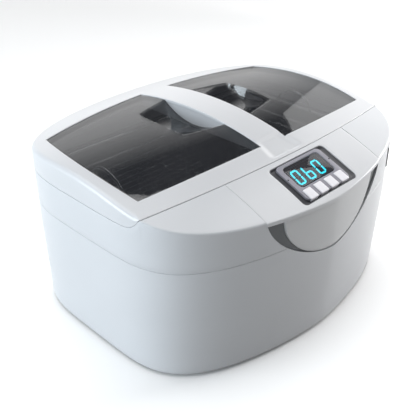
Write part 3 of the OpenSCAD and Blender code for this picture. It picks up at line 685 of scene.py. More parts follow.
def upper_casing():
    deck_steps = 14
    rows = []
    for p, n in OUTLINE:
        inner = rim_point(p, n)
        room = (inner - p).length
        edge = min(1.3 if p.y < CORNER.y else 0.3, 0.4 * room)
        lip = min(0.35, 0.2 * room)
        low = SPLIT_Z + GAP - 0.1
        row = [(p - n * WALL, low), (p - n * 0.2, low), (p - n * 0.06, low + 0.06), (p, low + 0.2)]
        top = casing_top(p, p)
        row += [(p, SPLIT_Z + 1 + (top - edge - SPLIT_Z - 1) * i / 6) for i in range(1, 7)]
        for a in (0.35, 0.75, 1.15, pi / 2):
            q = p - n * edge * (1 - cos(a))
            row.append((q, casing_top(p, q) - edge * (1 - sin(a))))
        start = p - n * edge
        end = inner + (start - inner).normalized() * lip
        for i in range(1, deck_steps + 1):
            q = start.lerp(end, i / deck_steps)
            row.append((q, casing_top(p, q)))
        row.append((inner, casing_top(p, inner) - lip))
        row.append((inner, LEDGE_TOP + 0.4))
        hole = onto_tank_hole(inner)
        row += [(inner.lerp(hole, i / 5), LEDGE_TOP) for i in range(6)]
        row.append((hole, LEDGE_TOP - LEDGE_T))
        row.append((p - n * WALL, LEDGE_TOP - LEDGE_T))
        rows.append([Vector((q.x, q.y, z)) for q, z in row])
    rings = [list(r) for r in zip(*rows)]
    piece = build("upper_casing_shell", Shape().loops(rings, wrap=True))
    # Open under the control cover, between the front wall and the riser at the seam
    xs = [(COVER_HALF - 0.2) * (i / 30 - 1) for i in range(61)]
    under = [Vector((x, front_y(x, WALL))) for x in xs] + [Vector((x, seam_y(x, 2.0))) for x in reversed(xs)]
    rings = [raised(under, lambda q: z) for z in (SPLIT_Z - 5, CROWN_TOP)]
    cut(piece, Shape().loops(rings, caps=True))
    cut(piece, front_opening(0.2))
    low, high = box("side_vent_grille")
    cut(piece, add_box(Shape(), (90, low.y - 0.2, low.z - 0.2), (160, high.y + 0.2, high.z + 0.2)))
    settle(piece, "cabinet", "casing_plastic", ["upper_casing"])


# ---- Control cover, over the front of the deck ----

PANEL_Y = -100.0
PANEL_TILT = radians(21.5)
PANEL_Z = crown(0, PANEL_Y) - 0.5
PANEL_W, PANEL_L, PANEL_R, PANEL_SHIFT = 66.6, 40.8, 4.0, -0.7


def panel(u, v, w):
    """A point of the tilted control panel: u to the right, v up the slope, w out of it."""
    c, s = cos(PANEL_TILT), sin(PANEL_TILT)
    return Vector((u, PANEL_Y + v * c - w * s, PANEL_Z + v * s + w * c))


def onto_crown(u, v, below=0.0):
    """The point over (u, v) of the panel, along its normal, that lies on the crown."""
    w = 0.0
    for _ in range(6):
        p = panel(u, v, w)
        w += (crown(p.x, p.y) - below - p.z) * cos(PANEL_TILT)
    return panel(u, v, w)


def cover_outline(inset, count):
    """The cover's outer edge, anticlockwise from the middle of its right side."""
    half = COVER_HALF - GAP / 2 - inset

    def front(x):
        return Vector((x, front_y(x, -0.4) + inset))

    def back(x):
        return Vector((x, seam_y(x, GAP / 2) - inset))

    right = [front(half).lerp(back(half), i / count) for i in range(count)]
    rear = [back(half - 2 * half * i / count) for i in range(count)]
    left = [back(-half).lerp(front(-half), i / count) for i in range(count)]
    fore = [front(-half + 2 * half * i / count) for i in range(count)]
    return right + rear + left + fore


def opening_outline(grow, count):
    """The panel opening with one point for each of cover_outline's, in panel units."""
    fine = rounded_loop(PANEL_W + 2 * grow, PANEL_L + 2 * grow, PANEL_R + grow, 16, 40)
    # One side runs from the middle of a corner to the middle of the next
    per = len(fine) // 4
    start = fine[-per + 8:] + fine[:-per + 8]
    points = []
    for k in range(4):
        side = start[k * per:(k + 1) * per] + [start[((k + 1) * per) % len(start)]]
        run = [0.0]
        for a, b in zip(side, side[1:]):
            run.append(run[-1] + (b - a).length)
        for i in range(count):
            s = run[-1] * i / count
            x, y = (np.interp(s, run, [p[axis] for p in side]) for axis in (0, 1))
            points.append(Vector((x, y)))
    return points


def control_cover():
    count, steps, round_r = 44, 12, 0.7

    def over_panel(grow, below):
        return [onto_crown(p.x, p.y + PANEL_SHIFT, below) for p in opening_outline(grow, count)]

    rings = [over_panel(0, WALL), over_panel(0, 0.45), over_panel(0.13, 0.13), over_panel(0.45, 0)]
    inner, outer = flat(rings[-1]), cover_outline(round_r, count)
    rings += [raised(between(inner, outer, i / steps), on_crown) for i in range(1, steps + 1)]
    for inward, down in arc(round_r):
        rings.append(raised(cover_outline(inward, count), lambda q: on_crown(q) - down))
    rings.append(raised(cover_outline(0, count), lambda q: under_crown(q) + 0.2))
    rings.append(raised(cover_outline(0.3, count), under_crown))
    shape = Shape().loops(rings, wrap=True)
    make("control_cover_shell", shape, "cabinet", "cover_plastic", ["control_cover"], 42)


# ---- Badge and crescent on the front ----

def border(rows):
    """The loop round the edge of a grid of points."""
    return [r[0] for r in rows] + rows[-1][1:-1] + [r[-1] for r in reversed(rows)] + rows[0][-2:0:-1]


def on_front(x, z, inset):
    return Vector((x, front_y(x, inset), z))


def badge_panel():
    columns, rows = 72, 16

    def column(f, inset, shrunk):
        low = tongue_edge(f, -0.15 - shrunk)
        high = crown(low.x, front_y(low.x)) - DECK_DROP - shrunk
        return [on_front(low.x, low.y + (high - low.y) * j / rows, inset) for j in range(rows + 1)]

    def grid(inset, shrunk):
        return [column(i / columns, inset, shrunk) for i in range(columns + 1)]

    shape = Shape().strip(grid(0.3, 0.35))
    shape.loops([border(grid(*edge)) for edge in ((0.3, 0.35), (0.42, 0.1), (0.65, 0), (WALL, 0))])
    shape.strip(grid(WALL, 0))
    make("badge_panel_plain", shape, "cabinet", "badge_plastic", ["badge_panel"])


def crescent_trim():
    count = 150
    across = 5

    def edge_pair(f, shrunk):
        a, b = crescent_edge(f, -0.05 - shrunk), tongue_edge(f, 0.05 + shrunk)
        return a, b

    def row(f, inset, shrunk):
        a, b = edge_pair(f, shrunk)
        return [on_front(a.x + (b.x - a.x) * k / across, a.y + (b.y - a.y) * k / across, inset)
                for k in range(across + 1)]

    def top_row(side, j, inset, shrunk):
        f = (side + 1) / 2
        a, b = edge_pair(f, shrunk)
        cells = []
        for k in range(across + 1):
            x = a.x + (b.x - a.x) * k / across
            z = a.y + (b.y - a.y) * k / across
            high = crown(x, front_y(x)) - DECK_DROP - 0.1
            cells.append(on_front(x, z + (high - z) * j / 3, inset))
        return cells

    def face(inset, shrunk):
        rows = [top_row(-1, j, inset, shrunk) for j in (3, 2, 1)]
        rows += [row(i / count, inset, shrunk) for i in range(count + 1)]
        rows += [top_row(1, j, inset, shrunk) for j in (1, 2, 3)]
        return rows

    front, back = face(CRESCENT_SINK, 0.2), face(WALL, 0)
    shape = Shape().strip(front).strip(back)
    shape.loops([border(front), border(face(CRESCENT_SINK + 0.2, 0)), border(back)])
    make("crescent_trim_band", shape, "cabinet", "dark_trim", ["crescent_trim"])


# ---- Side air grille ----

def side_grille():
    low, high = box("side_vent_grille")
    start, end = HALF.at_y(high.y), HALF.at_y(low.y)

    def wall_point(s, inset, z):
        q = HALF.point(s) - HALF.normal(s) * inset
        return Vector((q.x, q.y, z))

    def bar(s0, s1, z0, z1, front, back):
        """A bar that follows the wall, with a rounded front."""
        soft = min(0.3, (z1 - z0) / 3)
        section = [(back, z0), (front + soft, z0), (front, z0 + soft), (front, z1 - soft), (front + soft, z1),
                   (back, z1)]
        count = max(2, round((s1 - s0) / 2.5))
        rings = [[wall_point(s0 + (s1 - s0) * i / count, d, z) for d, z in section] for i in range(count + 1)]
        return rings

    shape = Shape()
    slots = 4
    pitch = (high.z - low.z) / slots
    for i in range(slots + 1):
        middle = low.z + i * pitch
        z0, z1 = max(low.z, middle - pitch / 2 + 1), min(high.z, middle + pitch / 2 - 1)
        shape.loops(bar(start, end, z0, z1, -0.55, WALL - 0.4), caps=True)
    for s in (start, (start + end) / 2, end):
        s0, s1 = max(start, s - 2), min(end, s + 2)
        shape.loops(bar(s0, s1, low.z, high.z, -0.8, WALL), caps=True)
    shape.loops(bar(start, end, low.z, high.z, WALL - 0.3, WALL), caps=True)
    make("side_vent_louvres", shape, "cabinet", "dark_trim", ["side_vent_grille"])


# ---- Lid ----

WINDOW_SINK, WINDOW_T = 0.6, 2.4
BRIDGE_HALF, BRIDGE_FLARE = 15.3, 0.75
WINDOW_SIDE = (-158.0, -3.3, 294.0)
WINDOW_BACK = (-628.8, 714.0)
WINDOW_FRONT = (774.2, 833.0)
WINDOW_ENDS = (-70.0, 100.0)
BRIDGE_FOOT_Z = CROWN_TOP - 17


def bridge_x(y, inset=0.0):
    run = (y - WINDOW_ENDS[0]) / (WINDOW_ENDS[1] - WINDOW_ENDS[0])
    return BRIDGE_HALF + BRIDGE_FLARE * (2 * run - 1) + inset


def window_front_y(x, inset=0.0):
    return WINDOW_FRONT[0] - sqrt((WINDOW_FRONT[1] - inset) ** 2 - x * x)


def window_back_y(x, inset=0.0):
    return WINDOW_BACK[0] + sqrt((WINDOW_BACK[1] - inset) ** 2 - x * x)


def window_side_x(y, inset=0.0):
    return WINDOW_SIDE[0] + sqrt((WINDOW_SIDE[2] - inset) ** 2 - (y - WINDOW_SIDE[1]) ** 2)


def window_point(u, v, inset=0.0):
    """A point of the right-hand window: u from the bridge outwards, v from front to back."""
    x, y = 70.0, 10.0
    for _ in range(12):
        x = bridge_x(y, inset) * (1 - u) + window_side_x(y, inset) * u
        y = window_front_y(x, inset) * (1 - v) + window_back_y(x, inset) * v
    return Vector((x, y))


def thumb_recess(x, y):
    """Depth of the shallow thumb recess in the lid's front strip."""
    run = min(1.0, max(0.0, (-54 - y) / 18))
    half = 9.5 + 3.2 * run
    side = min(1.0, max(0.0, (half + 7.5 - abs(x)) / 7.5))
    back = min(1.0, max(0.0, (-50.5 - y) / 4.0))
    front = min(1.0, max(0.0, (y + 74.3) / 2.4))
    ease = [t * t * (3 - 2 * t) for t in (side, back, front)]
    return 1.6 * ease[0] * ease[1] * ease[2]


def lid_top(q):
    return crown(q.x, q.y) - thumb_recess(q.x, q.y)


class LidLoop:
    """The outer loop of the right half of the lid, split at the same corners as the window's loop."""

    def __init__(self):
        self.counts = (90, 66, 66, 84)
        corner = window_point(1, 1)
        turn = next(s for s in np.arange(0, HOOK_S, 0.1)
                    if HALF.point(s).y - HALF.point(s).x <= corner.y - corner.x)
        self.sides = []
        for start, end, count in ((0.0, turn, self.counts[1]), (turn, CORNER_S, self.counts[2])):
            self.sides += [start + (end - start) * i / count for i in range(count)]

    def window(self, grow):
        a, b, c, d = self.counts
        inset = -grow
        loop = [window_point(0, i / a, inset) for i in range(a)]
        loop += [window_point(i / b, 1, inset) for i in range(b)]
        loop += [window_point(1, 1 - i / c, inset) for i in range(c)]
        loop += [window_point(1 - i / d, 0, inset) for i in range(d)]
        return loop

    def edge(self, side_inset, front_inset):
        """Rear and side outline, then the front seam, set in by functions of the outline point."""
        loop = []
        for s in self.sides + [CORNER_S]:
            p, n = HALF.point(s), HALF.normal(s)
            q = p - n * side_inset(p)
            q.y = max(q.y, seam_y(q.x) + front_inset)
            if s == 0.0:
                q.x = 0.0
            loop.append((p, q))
        p, q = loop[-1]
        scale = q.x / p.x
        d = self.counts[3]
        for i in range(1, d + 1):
            x = p.x * (1 - i / d)
            loop.append((Vector((x, seam_y(x))), Vector((x * scale, seam_y(x * scale) + front_inset))))
        return loop


def lid_frame():
    lid = LidLoop()
    side_r, front_r = 3.6, 0.35

    def bottom(p, index):
        """Height of the lid's lower edge at the outline point."""
        if index <= len(lid.sides):
            return hook(p.y) + GAP - 0.15
        far = min(1.0, (p - CORNER).length / 9.0)
        return SEAM_Z + GAP + (CORNER_Z - SEAM_Z) * (1 - far) ** HOOK_POWER

    def side_radius(p):
        return max(0.05, min(side_r, 0.55 * (crown(p.x, p.y) - hook(p.y) - GAP)))

    def fillet(a):
        share = 1 - sin(a)
        loop = lid.edge(lambda p: GAP / 2 + side_radius(p) * share, GAP / 2 + front_r * share)
        points = []
        for index, (p, q) in enumerate(loop):
            r = side_radius(p) if index < len(lid.sides) else front_r
            points.append(Vector((q.x, q.y, lid_top(q) - r * (1 - cos(a)))))
        return points

    def level(inset, height):
        loop = lid.edge(lambda p: inset, inset)
        return [Vector((q.x, q.y, height(p, q, index))) for index, (p, q) in enumerate(loop)]

    def middle_line(edge_loop, height):
        """Points along the middle plane, from the front edge to the back edge of a loop."""
        start, end, count = edge_loop[-1].y, edge_loop[0].y, lid.counts[0]
        return raised([Vector((0, start + (end - start) * i / count)) for i in range(count)], height)

    shape = Shape()
    # Top, from the window's edge outwards
    rings = [raised(lid.window(0), under_crown)]
    for grow, drop in ((0, 0.5), (0.12, 0.16), (0.5, 0)):
        rings.append(raised(lid.window(grow), lambda q: lid_top(q) - drop))
    edge_loop = fillet(0)
    outer = middle_line(edge_loop, lid_top) + edge_loop[:-1]
    inner_flat, outer_flat, steps = flat(rings[-1]), flat(outer), 12
    rings += [raised(between(inner_flat, outer_flat, i / steps), lid_top) for i in range(1, steps)]
    shape.loops(rings + [outer])
    # Outer edge, wall and lower rim
    rows = [fillet(a) for a in (0, 0.3, 0.65, 1.0, 1.3, pi / 2)]
    wall_top = rows[-1]
    foot = level(GAP / 2, lambda p, q, index: bottom(p, index) + 0.15)
    rows += [between(wall_top, foot, i / 4) for i in (1, 2, 3)]
    rows.append(foot)
    rows.append(level(GAP / 2 + 0.15, lambda p, q, index: bottom(p, index)))
    rows.append(level(WALL, lambda p, q, index: bottom(p, index)))
    under = level(WALL, lambda p, q, index: under_crown(q))
    rows.append(under)
    shape.strip(rows)
    # Underside
    under_loop = middle_line(under, under_crown) + under[:-1]
    under_flat, window_flat = flat(under_loop), lid.window(0)
    rings = [under_loop] + [raised(between(under_flat, window_flat, i / 6), under_crown) for i in range(1, 6)]
    shape.loops(rings + [raised(window_flat, under_crown)])
    # Side wall of the bridge, down beside the window
    sections = []
    foot_z, steps = BRIDGE_FOOT_Z, 90
    for i in range(steps + 1):
        q = window_point(0, i / steps)
        top = under_crown(q) + 0.5
        outline = [(q.x - 2.5, top), (q.x - 2.5, foot_z), (q.x - 0.5, foot_z), (q.x, foot_z + 0.5),
                   (q.x, top)]
        sections.append([Vector((x, q.y, z)) for x, z in outline])
    shape.loops(sections, caps=True)
    shape.mirrored()
    make("lid_frame_shell", shape, "lid", "lid_plastic", ["lid_frame"])


SCOOP_R, SCOOP_Y, SCOOP_LOW, SCOOP_END = 60.0, 16.0, 147.9, 55.0
SCOOP_TILT = radians(7.5)


def blend_low(a, b, width):
    """The lower of two heights, with the crease between them rounded over a width."""
    t = max(0.0, min(1.0, 0.5 + (b - a) / (2 * width)))
    return b * (1 - t) + a * t - width * t * (1 - t)


def window_top(x, y):
    """Height of the window's upper face, with the dip for the fingers."""
    flat = crown(x, y) - WINDOW_SINK
    axis = SCOOP_LOW + SCOOP_R + (x - BRIDGE_HALF) * tan(SCOOP_TILT)
    reach = SCOOP_R**2 - (y - SCOOP_Y) ** 2
    if reach <= 0:
        return flat
    trough = axis - sqrt(reach) / cos(SCOOP_TILT)
    # The outer end rises steeply to the window's face
    end = max(0.0, x - SCOOP_END + 2.6) * 3.4
    return blend_low(flat, trough + end, 0.5)


def lid_window(side, name, replaced):
    across, along = 150, 130

    def sheet(inset, drop):
        rows = []
        for j in range(along + 1):
            row = [window_point(i / across, j / along, inset) for i in range(across + 1)]
            rows.append(raised(row, lambda q: window_top(q.x, q.y) - drop))
        return rows

    def border(rows):
        return rows[0] + [r[-1] for r in rows[1:-1]] + rows[-1][::-1] + [r[0] for r in rows[-2:0:-1]]

    top, rim, bottom = sheet(0.35, 0), sheet(0.2, 0.15), sheet(0.2, WINDOW_T)
    shape = Shape().strip(top).strip(bottom).loops([border(top), border(rim), border(bottom)])
    if side < 0:
        shape.turned()
    make(name, shape, "lid", "smoked_window", [replaced], 50)


# ---- Control panel ----

PLATE_W, PLATE_L = PLATE_HIGH.x - PLATE_LOW.x, 37.2
TRAY_DEPTH = 5.6
LENS_W, LENS_L, LENS_V = 43.7, 22.5, 4.5
BUTTON_W, BUTTON_L, BUTTON_V, BUTTON_PITCH = 9.0, 10.3, -13.8, 13.0
LAMP_U = 25.6
FIGURES_U, FIGURES_V = -0.4, 3.85


def panel_at(across, up):
    """Places points about a spot on the control panel."""
    return lambda u, v, w: panel(u + across, v + up, w)


def panel_ring(w, l, r, height, shift=0.0):
    return [panel(p.x, p.y + shift, height) for p in rounded_loop(w, l, r, 10, 8)]


def control_bezel():
    s = PANEL_SHIFT
    rows = [
        (PANEL_W - 0.4, PANEL_L - 0.4, 3.8, -1.1, s),
        (PANEL_W - 0.7, PANEL_L - 0.7, 3.7, -0.9, s),
        (PANEL_W - 1.2, PANEL_L - 1.2, 3.4, -0.9, s),
        (PANEL_W - 1.5, PANEL_L - 1.5, 3.3, -1.1, s),
        (PANEL_W - 4.6, PANEL_L - 2.2, 3.0, -2.5, s * 0.7),
        (PANEL_W - 5.6, PANEL_L - 2.8, 3.0, -2.8, s * 0.6),
        (PLATE_W + 0.5, PLATE_L + 0.3, 4.2, -2.8),
        (PLATE_W + 0.2, PLATE_L + 0.1, 4.2, -2.6),
        (PLATE_W + 0.1, PLATE_L + 0.1, 4.1, -1.9),
        (50, 34, 3, -1.9),
        (50, 34, 3, -TRAY_DEPTH),
        (PANEL_W - 0.4, PANEL_L - 0.4, 3.8, -TRAY_DEPTH, s),
    ]
    rings = [panel_ring(*row) for row in rows]
    make("control_bezel_tray", Shape().loops(rings, wrap=True), "cabinet", "bezel_plastic", ["control_bezel"])


def display_plate():
    e, corner = 0.45, 4.2
    piece = build("display_plate_face", block([
        (PLATE_W, PLATE_L, corner, -1.8), (PLATE_W, PLATE_L, corner, -e),
        (PLATE_W - 0.26, PLATE_L - 0.26, 4.1, -0.13), (PLATE_W - 2 * e, PLATE_L - 2 * e, 3.8, 0)], panel))
    window = [(LENS_W, LENS_L, 4, -4), (LENS_W, LENS_L, 4, -0.5), (LENS_W + 1.0, LENS_L + 1.0, 4.5, 0.02),
              (LENS_W + 1.0, LENS_L + 1.0, 4.5, 3)]
    cut(piece, block(window, panel_at(0, LENS_V)))
    hole = [(BUTTON_W + 0.6, BUTTON_L + 0.6, 1.0, height) for height in (-4, 4)]
    for i in range(4):
        cut(piece, block(hole, panel_at((i - 1.5) * BUTTON_PITCH, BUTTON_V)))
    for side in (-1, 1):
        cut(piece, lathe([(0.8, -4), (0.8, 2)], panel_at(side * LAMP_U, LENS_V), 32))
    settle(piece, "cabinet", "plate_plastic", ["display_plate"])


def display_lens():
    w, l = LENS_W - 0.2, LENS_L - 0.2
    sections = [(w, l, 3.9, -1.8), (w, l, 3.9, -0.6), (w - 0.3, l - 0.3, 3.8, -0.42),
                (w - 0.9, l - 0.9, 3.5, -0.3)]
    make("display_lens", block(sections, panel_at(0, LENS_V)), "cabinet", "display_lens", ["display_window"])


def lens_frame():
    """The narrow satin band round the display, just under the lens's edge."""
    outer, inner = (LENS_W - 0.3, LENS_L - 0.3, 3.9), (LENS_W - 3.4, LENS_L - 3.4, 2.6)
    section = ((outer, -1.95), (outer, -2.35), (inner, -2.35), (inner, -1.95))
    rings = [panel_ring(*size, height, LENS_V) for size, height in section]
    make("display_surround", Shape().loops(rings, wrap=True), "cabinet", "plate_plastic")


DIGIT_W, DIGIT_H, DIGIT_T, DIGIT_PITCH, DIGIT_LEAN = 8.0, 14.5, 1.4, 12.65, radians(5.5)
FIGURES = ((-1, "abcdef"), (0, "cdefg"), (1, "abcdef"))


def display_figures():
    """Seven-segment figures made of bars with pointed ends."""
    x, y = DIGIT_W / 2 - DIGIT_T / 2, DIGIT_H / 2 - DIGIT_T / 2
    spots = {"a": (0, y, 0), "b": (x, y / 2, 1), "c": (x, -y / 2, 1), "d": (0, -y, 0), "e": (-x, -y / 2, 1),
             "f": (-x, y / 2, 1), "g": (0, 0, 0)}
    half = DIGIT_T / 2
    shape = Shape()
    for place, lit_bars in FIGURES:
        for name in lit_bars:
            cx, cy, upright = spots[name]
            reach = (y / 2 if upright else x) - 0.16
            bar = [(-reach, 0), (half - reach, -half), (reach - half, -half), (reach, 0),
                   (reach - half, half), (half - reach, half)]
            rings = []
            for w in (-2.6, -2.2):
                ringed = []
                for a, b in bar:
                    u, v = (b, a) if upright else (a, b)
                    u, v = cx + u, cy + v
                    u += v * tan(DIGIT_LEAN)
                    ringed.append(panel(place * DIGIT_PITCH + FIGURES_U + u, v + FIGURES_V, w))
                rings.append(ringed)
            shape.loops(rings, caps=True)
    make("display_figures", shape, "cabinet", "digit_light", ["display_digits"])


def push_button(index, name):
    def place(u, v, w):
        # The cap's face is slightly crowned
        crowned = 0.16 * (1 - (2 * u / BUTTON_W) ** 2) * (1 - (2 * v / BUTTON_L) ** 2) if w > 0.3 else 0
        return panel(u + (index - 1.5) * BUTTON_PITCH, v + BUTTON_V, w + crowned - 0.12)

    w, l = BUTTON_W, BUTTON_L
    sections = [(w + 2.4, l + 1.6, 1.2, -6.7), (w + 2.4, l + 1.6, 1.2, -5.8), (w, l, 0.9, -5.8),
                (w, l, 0.9, 0.1)]
    for a in ROUNDING:
        inset = 2 * 0.5 * (1 - cos(a))
        sections.append((w - inset, l - inset, 0.9, 0.1 + 0.5 * sin(a)))
    sections += [((w - 1.0) * k, (l - 1.0) * k, 0.9 * k, 0.6) for k in (0.8, 0.6, 0.4, 0.2, 0.05)]
    stem = lathe([(1.6, -7.38), (1.6, -6.5)], place, 32)
    make(name + "_cap", block(sections, place).add(stem), name, "button_plastic", [name])


def indicator_lens(side, name):
    profile = [(0.7, -1.8), (0.7, -0.2), (0.6, -0.08), (0.35, 0.0), (0.05, 0.03)]
    shape = lathe(profile, panel_at(side * LAMP_U, LENS_V), 32)
    make(name, shape, "cabinet", "indicator_dark", ["indicator_lights"])


# ---- Tank and basket ----

FLANGE = 8.0
TANK_T = 1.0
TANK_IN_L = TANK_HIGH.x - TANK_LOW.x - 2 * FLANGE
TANK_IN_W = TANK_HIGH.y - TANK_LOW.y - 2 * FLANGE
TANK_FLOOR = TANK_LOW.z + TANK_T
TANK_CORNER = 22.0


def tank_ring(grow, z, corner=None):
    """A rounded rectangle set out from the tank's inner wall."""
    r = TANK_CORNER + grow if corner is None else corner
    loop = rounded_loop(TANK_IN_L + 2 * grow, TANK_IN_W + 2 * grow, r, 14, 24)
    return [Vector((p.x, p.y + TANK_Y, z)) for p in loop]


def deep_drawn_tank():
    top, bend, foot = TANK_HIGH.z, 2.2, 9.0
    rings = [tank_ring(FLANGE, top - 1.0), tank_ring(FLANGE, top - 0.3), tank_ring(FLANGE - 0.3, top),
             tank_ring(bend, top)]
    rings += [tank_ring(back, top - down) for back, down in arc(bend)]
    for i in range(1, 9):
        rings.append(tank_ring(0, top - bend - (top - bend - TANK_FLOOR - foot) * i / 8))
    for up, inward in arc(foot, (0.25, 0.5, 0.75, 1.0, 1.25, pi / 2)):
        rings.append(tank_ring(-inward, TANK_FLOOR + up, TANK_CORNER - 0.6 * inward))
    for i in range(1, 9):
        corner = max(1.5, TANK_CORNER - 0.6 * foot - i * 2)
        rings.append(tank_ring(-foot - i * 7.4, TANK_FLOOR - 0.02 * i, corner))
    shape = Shape().loops(rings)
    shape.close(len(rings[-1]))
    # Outside of the shell
    rings = [tank_ring(FLANGE, top - 1.0), tank_ring(TANK_T, top - 1.0), tank_ring(TANK_T, TANK_LOW.z + foot)]
    for up, inward in arc(foot, (0.5, 1.0, pi / 2)):
        rings.append(tank_ring(TANK_T - inward, TANK_LOW.z + up, TANK_CORNER + TANK_T - 0.6 * inward))
    shape.loops(rings)
    shape.close(len(rings[-1]))
    make("drawn_tank", shape, "cabinet", "tank_steel", ["tank"], 50)


MESH_PITCH, MESH_WIRE = 5.6, 0.5
MESH_HALF_L = (BASKET_HIGH.x - BASKET_LOW.x) / 2 - 2.7
MESH_HALF_W = (BASKET_HIGH.y - BASKET_LOW.y) / 2 - 2.7
MESH_R = 13.3
MESH_Z = 52.4
RIM_Z = BASKET_HIGH.z


def reach_along(other, half_along, half_other):
    """How far the mesh's rounded outline reaches along one axis, at a place on the other."""
    past = abs(other) - (half_other - MESH_R)
    if past <= 0:
        return half_along
    return half_along - MESH_R + sqrt(max(0.0, MESH_R**2 - past**2))


def hoop(place, reach, phase):
    """A wire that runs down one side, across the bottom and up the other, waving over and under."""
    bend, steps = 4.0, 4
    sway = MESH_WIRE * 0.9

    def wave(s):
        return sway * cos(pi * s / MESH_PITCH + phase)

    high = RIM_Z - 1.6
    drop = high - MESH_Z - bend
    count = max(2, round(drop / MESH_PITCH * steps))
    heights = [high - drop * i / count for i in range(count + 1)]
    down = [(-reach + wave(z), z) for z in heights]
    down += [(-reach + back, MESH_Z + up) for up, back in arc(bend, ROUNDING[:3])]
    half = reach - bend
    count = max(2, round(2 * half / MESH_PITCH * steps))
    runs = [-half + 2 * half * i / count for i in range(count + 1)]
    across = [(x, MESH_Z + wave(x)) for x in runs]
    up = [(-x, z) for x, z in reversed(down)]
    return [place(x, z) for x, z in down + across + up]


def basket_mesh():
    shape = Shape()
    for along, beside, turned in ((MESH_HALF_L, MESH_HALF_W, 0), (MESH_HALF_W, MESH_HALF_L, 1)):
        count = int((beside - 2.5) / MESH_PITCH)
        for i in range(-count, count + 1):
            offset = i * MESH_PITCH

            def place(run, z):
                x, y = (offset, run) if turned else (run, offset)
                return Vector((x, TANK_Y + y, z))

            reach = reach_along(offset, along, beside)
            add_tube(shape, hoop(place, reach, pi * (i + turned)), MESH_WIRE, 6)
    levels = int((RIM_Z - 3 - MESH_Z - 5) / MESH_PITCH)
    loop = rounded_loop(2 * MESH_HALF_L, 2 * MESH_HALF_W, MESH_R, 12, 70)
    for k in range(1, levels + 1):
        z = MESH_Z + 3 + k * MESH_PITCH
        path = []
        for j, p in enumerate(loop):
            out = p.normalized() * MESH_WIRE * 0.7 * cos(pi * j / 2 + pi * k)
            path.append(Vector((p.x + out.x, TANK_Y + p.y + out.y, z)))
        add_tube(shape, path, MESH_WIRE, 6, closed=True)
    make("basket_wire_mesh", shape, "basket", "basket_wire", ["basket_mesh"], 60)


FRAME_R, FRAME_CORNER = 1.3, 14.7
FRAME_FEET_X = (-75, 75)
FRAME_POSTS_X = (-75, -25, 25, 75)
HANDLE_X, HANDLE_HOOK_R = 115.5, 0.9


def basket_frame():
    shape = Shape()
    w, l = BASKET_HIGH.x - BASKET_LOW.x - 2 * FRAME_R, BASKET_HIGH.y - BASKET_LOW.y - 2 * FRAME_R
    for z in (RIM_Z - FRAME_R, MESH_Z + 1.9):
        loop = [Vector((p.x, p.y + TANK_Y, z)) for p in rounded_loop(w, l, FRAME_CORNER, 12, 4)]
        add_tube(shape, loop, FRAME_R, 12, closed=True)
    for x in FRAME_POSTS_X:
        for side in (-1, 1):
            add_rod(shape, x, TANK_Y + side * l / 2, MESH_Z + 0.6, RIM_Z - FRAME_R, FRAME_R * 0.95, 12)
    for x in FRAME_FEET_X:
        half, foot = l / 2, BASKET_LOW.z + FRAME_R
        path = [Vector((x, TANK_Y - half, MESH_Z + 3))]
        path += [Vector((x, TANK_Y - half + back, foot + up)) for up, back in arc(3, (0, 0.5, 1, 1.57))]
        path += [Vector((x, 2 * TANK_Y - p.y, p.z)) for p in reversed(path)]
        add_tube(shape, path, FRAME_R, 12)
    make("basket_rim_and_feet", shape, "basket", "basket_wire", ["basket_frame"], 60)


def basket_handle(node):
    low, high = box(node)
    x = copysign(HANDLE_X, low.x)
    radius = (high.y - low.y) / 2 - FRAME_R
    centre = high.z - FRAME_R - radius
    foot, bend, steps = low.z + 1.2, 3.0, 40
    path = []
    for i in range(steps + 1):
        a = pi * i / steps
        path.append(Vector((x, TANK_Y + radius * cos(a), centre + radius * sin(a))))
    turn = arc(bend, (0, 0.5, 1.0, pi / 2))
    for side, bends in ((-1, turn), (1, turn[::-1])):
        path += [Vector((x, TANK_Y + side * radius - side * back, foot + up)) for up, back in bends]
    shape = add_tube(Shape(), path, FRAME_R, 14, closed=True)
    # Two hooks hold the handle's legs to the basket's rim
    inner = (BASKET_HIGH.x - FRAME_R) * copysign(1, x)
    for side in (-1, 1):
        y = TANK_Y + side * (radius - 5)
        add_tube(shape, [Vector((x, y, foot)), Vector((inner, y, foot + 0.4))], HANDLE_HOOK_R, 12)
    make(node + "_wire", shape, "basket", "basket_wire", [node], 60)


# ---- Feet ----

def rubber_foot(node):
    low, high = box(node)
    x, y = (low.x + high.x) / 2, (low.y + high.y) / 2
    profile = [(0.05, 0.5), (3.2, 0.45), (4.2, 0), (7.9, 0), (8.7, 0.35), (9.0, 1.0), (8.7, FOOT_Z),
               (2.9, FOOT_Z), (2.9, FOOT_Z + 3), (3.9, FOOT_Z + 3.1), (4.0, high.z - 0.2), (3.4, high.z),
               (0.05, high.z)]
    shape = lathe(profile, lambda u, v, w: Vector((x + u, y + v, w)))
    make(node + "_pad", shape, "cabinet", "foot_rubber", [node])


# ---- Camera, light and floor, in metres ----

CAMERA_PLACE = (-0.3859, -0.3695, 0.3830)
CAMERA_AIM = (-0.00439, 0.0082, 0.06063)
CAMERA_LENS = 58.03
OCTABOX_X = 0.8
OCTABOX_EDGE = ((0.381, 0.12), (0.381, 0.653), (0.20, 0.80), (-0.02, 0.80), (-0.17, 0.653), (-0.17, 0.12),
                (-0.05, 0.03), (0.26, 0.03))
GLOW_AZIMUTH, GLOW_RISE = radians(58), radians(8)
LAMPS_AIM = (0, 0, 0.08)
# Name, place, width and height, watts, colour
LAMPS = (
    ("left_softbox", (-1.30, 0.38, 0.36), (1.1, 0.7), 18, (0.83, 0.93, 1.0)),
    ("fore_softbox", (1.05, -0.38, 0.35), (0.5, 0.5), 10, (1, 1, 1)),
    ("high_softbox", (0.42, -0.17, 0.80), (0.36, 0.36), 1.1, (1, 1, 1)),
)
FLOOR_HALF = 30


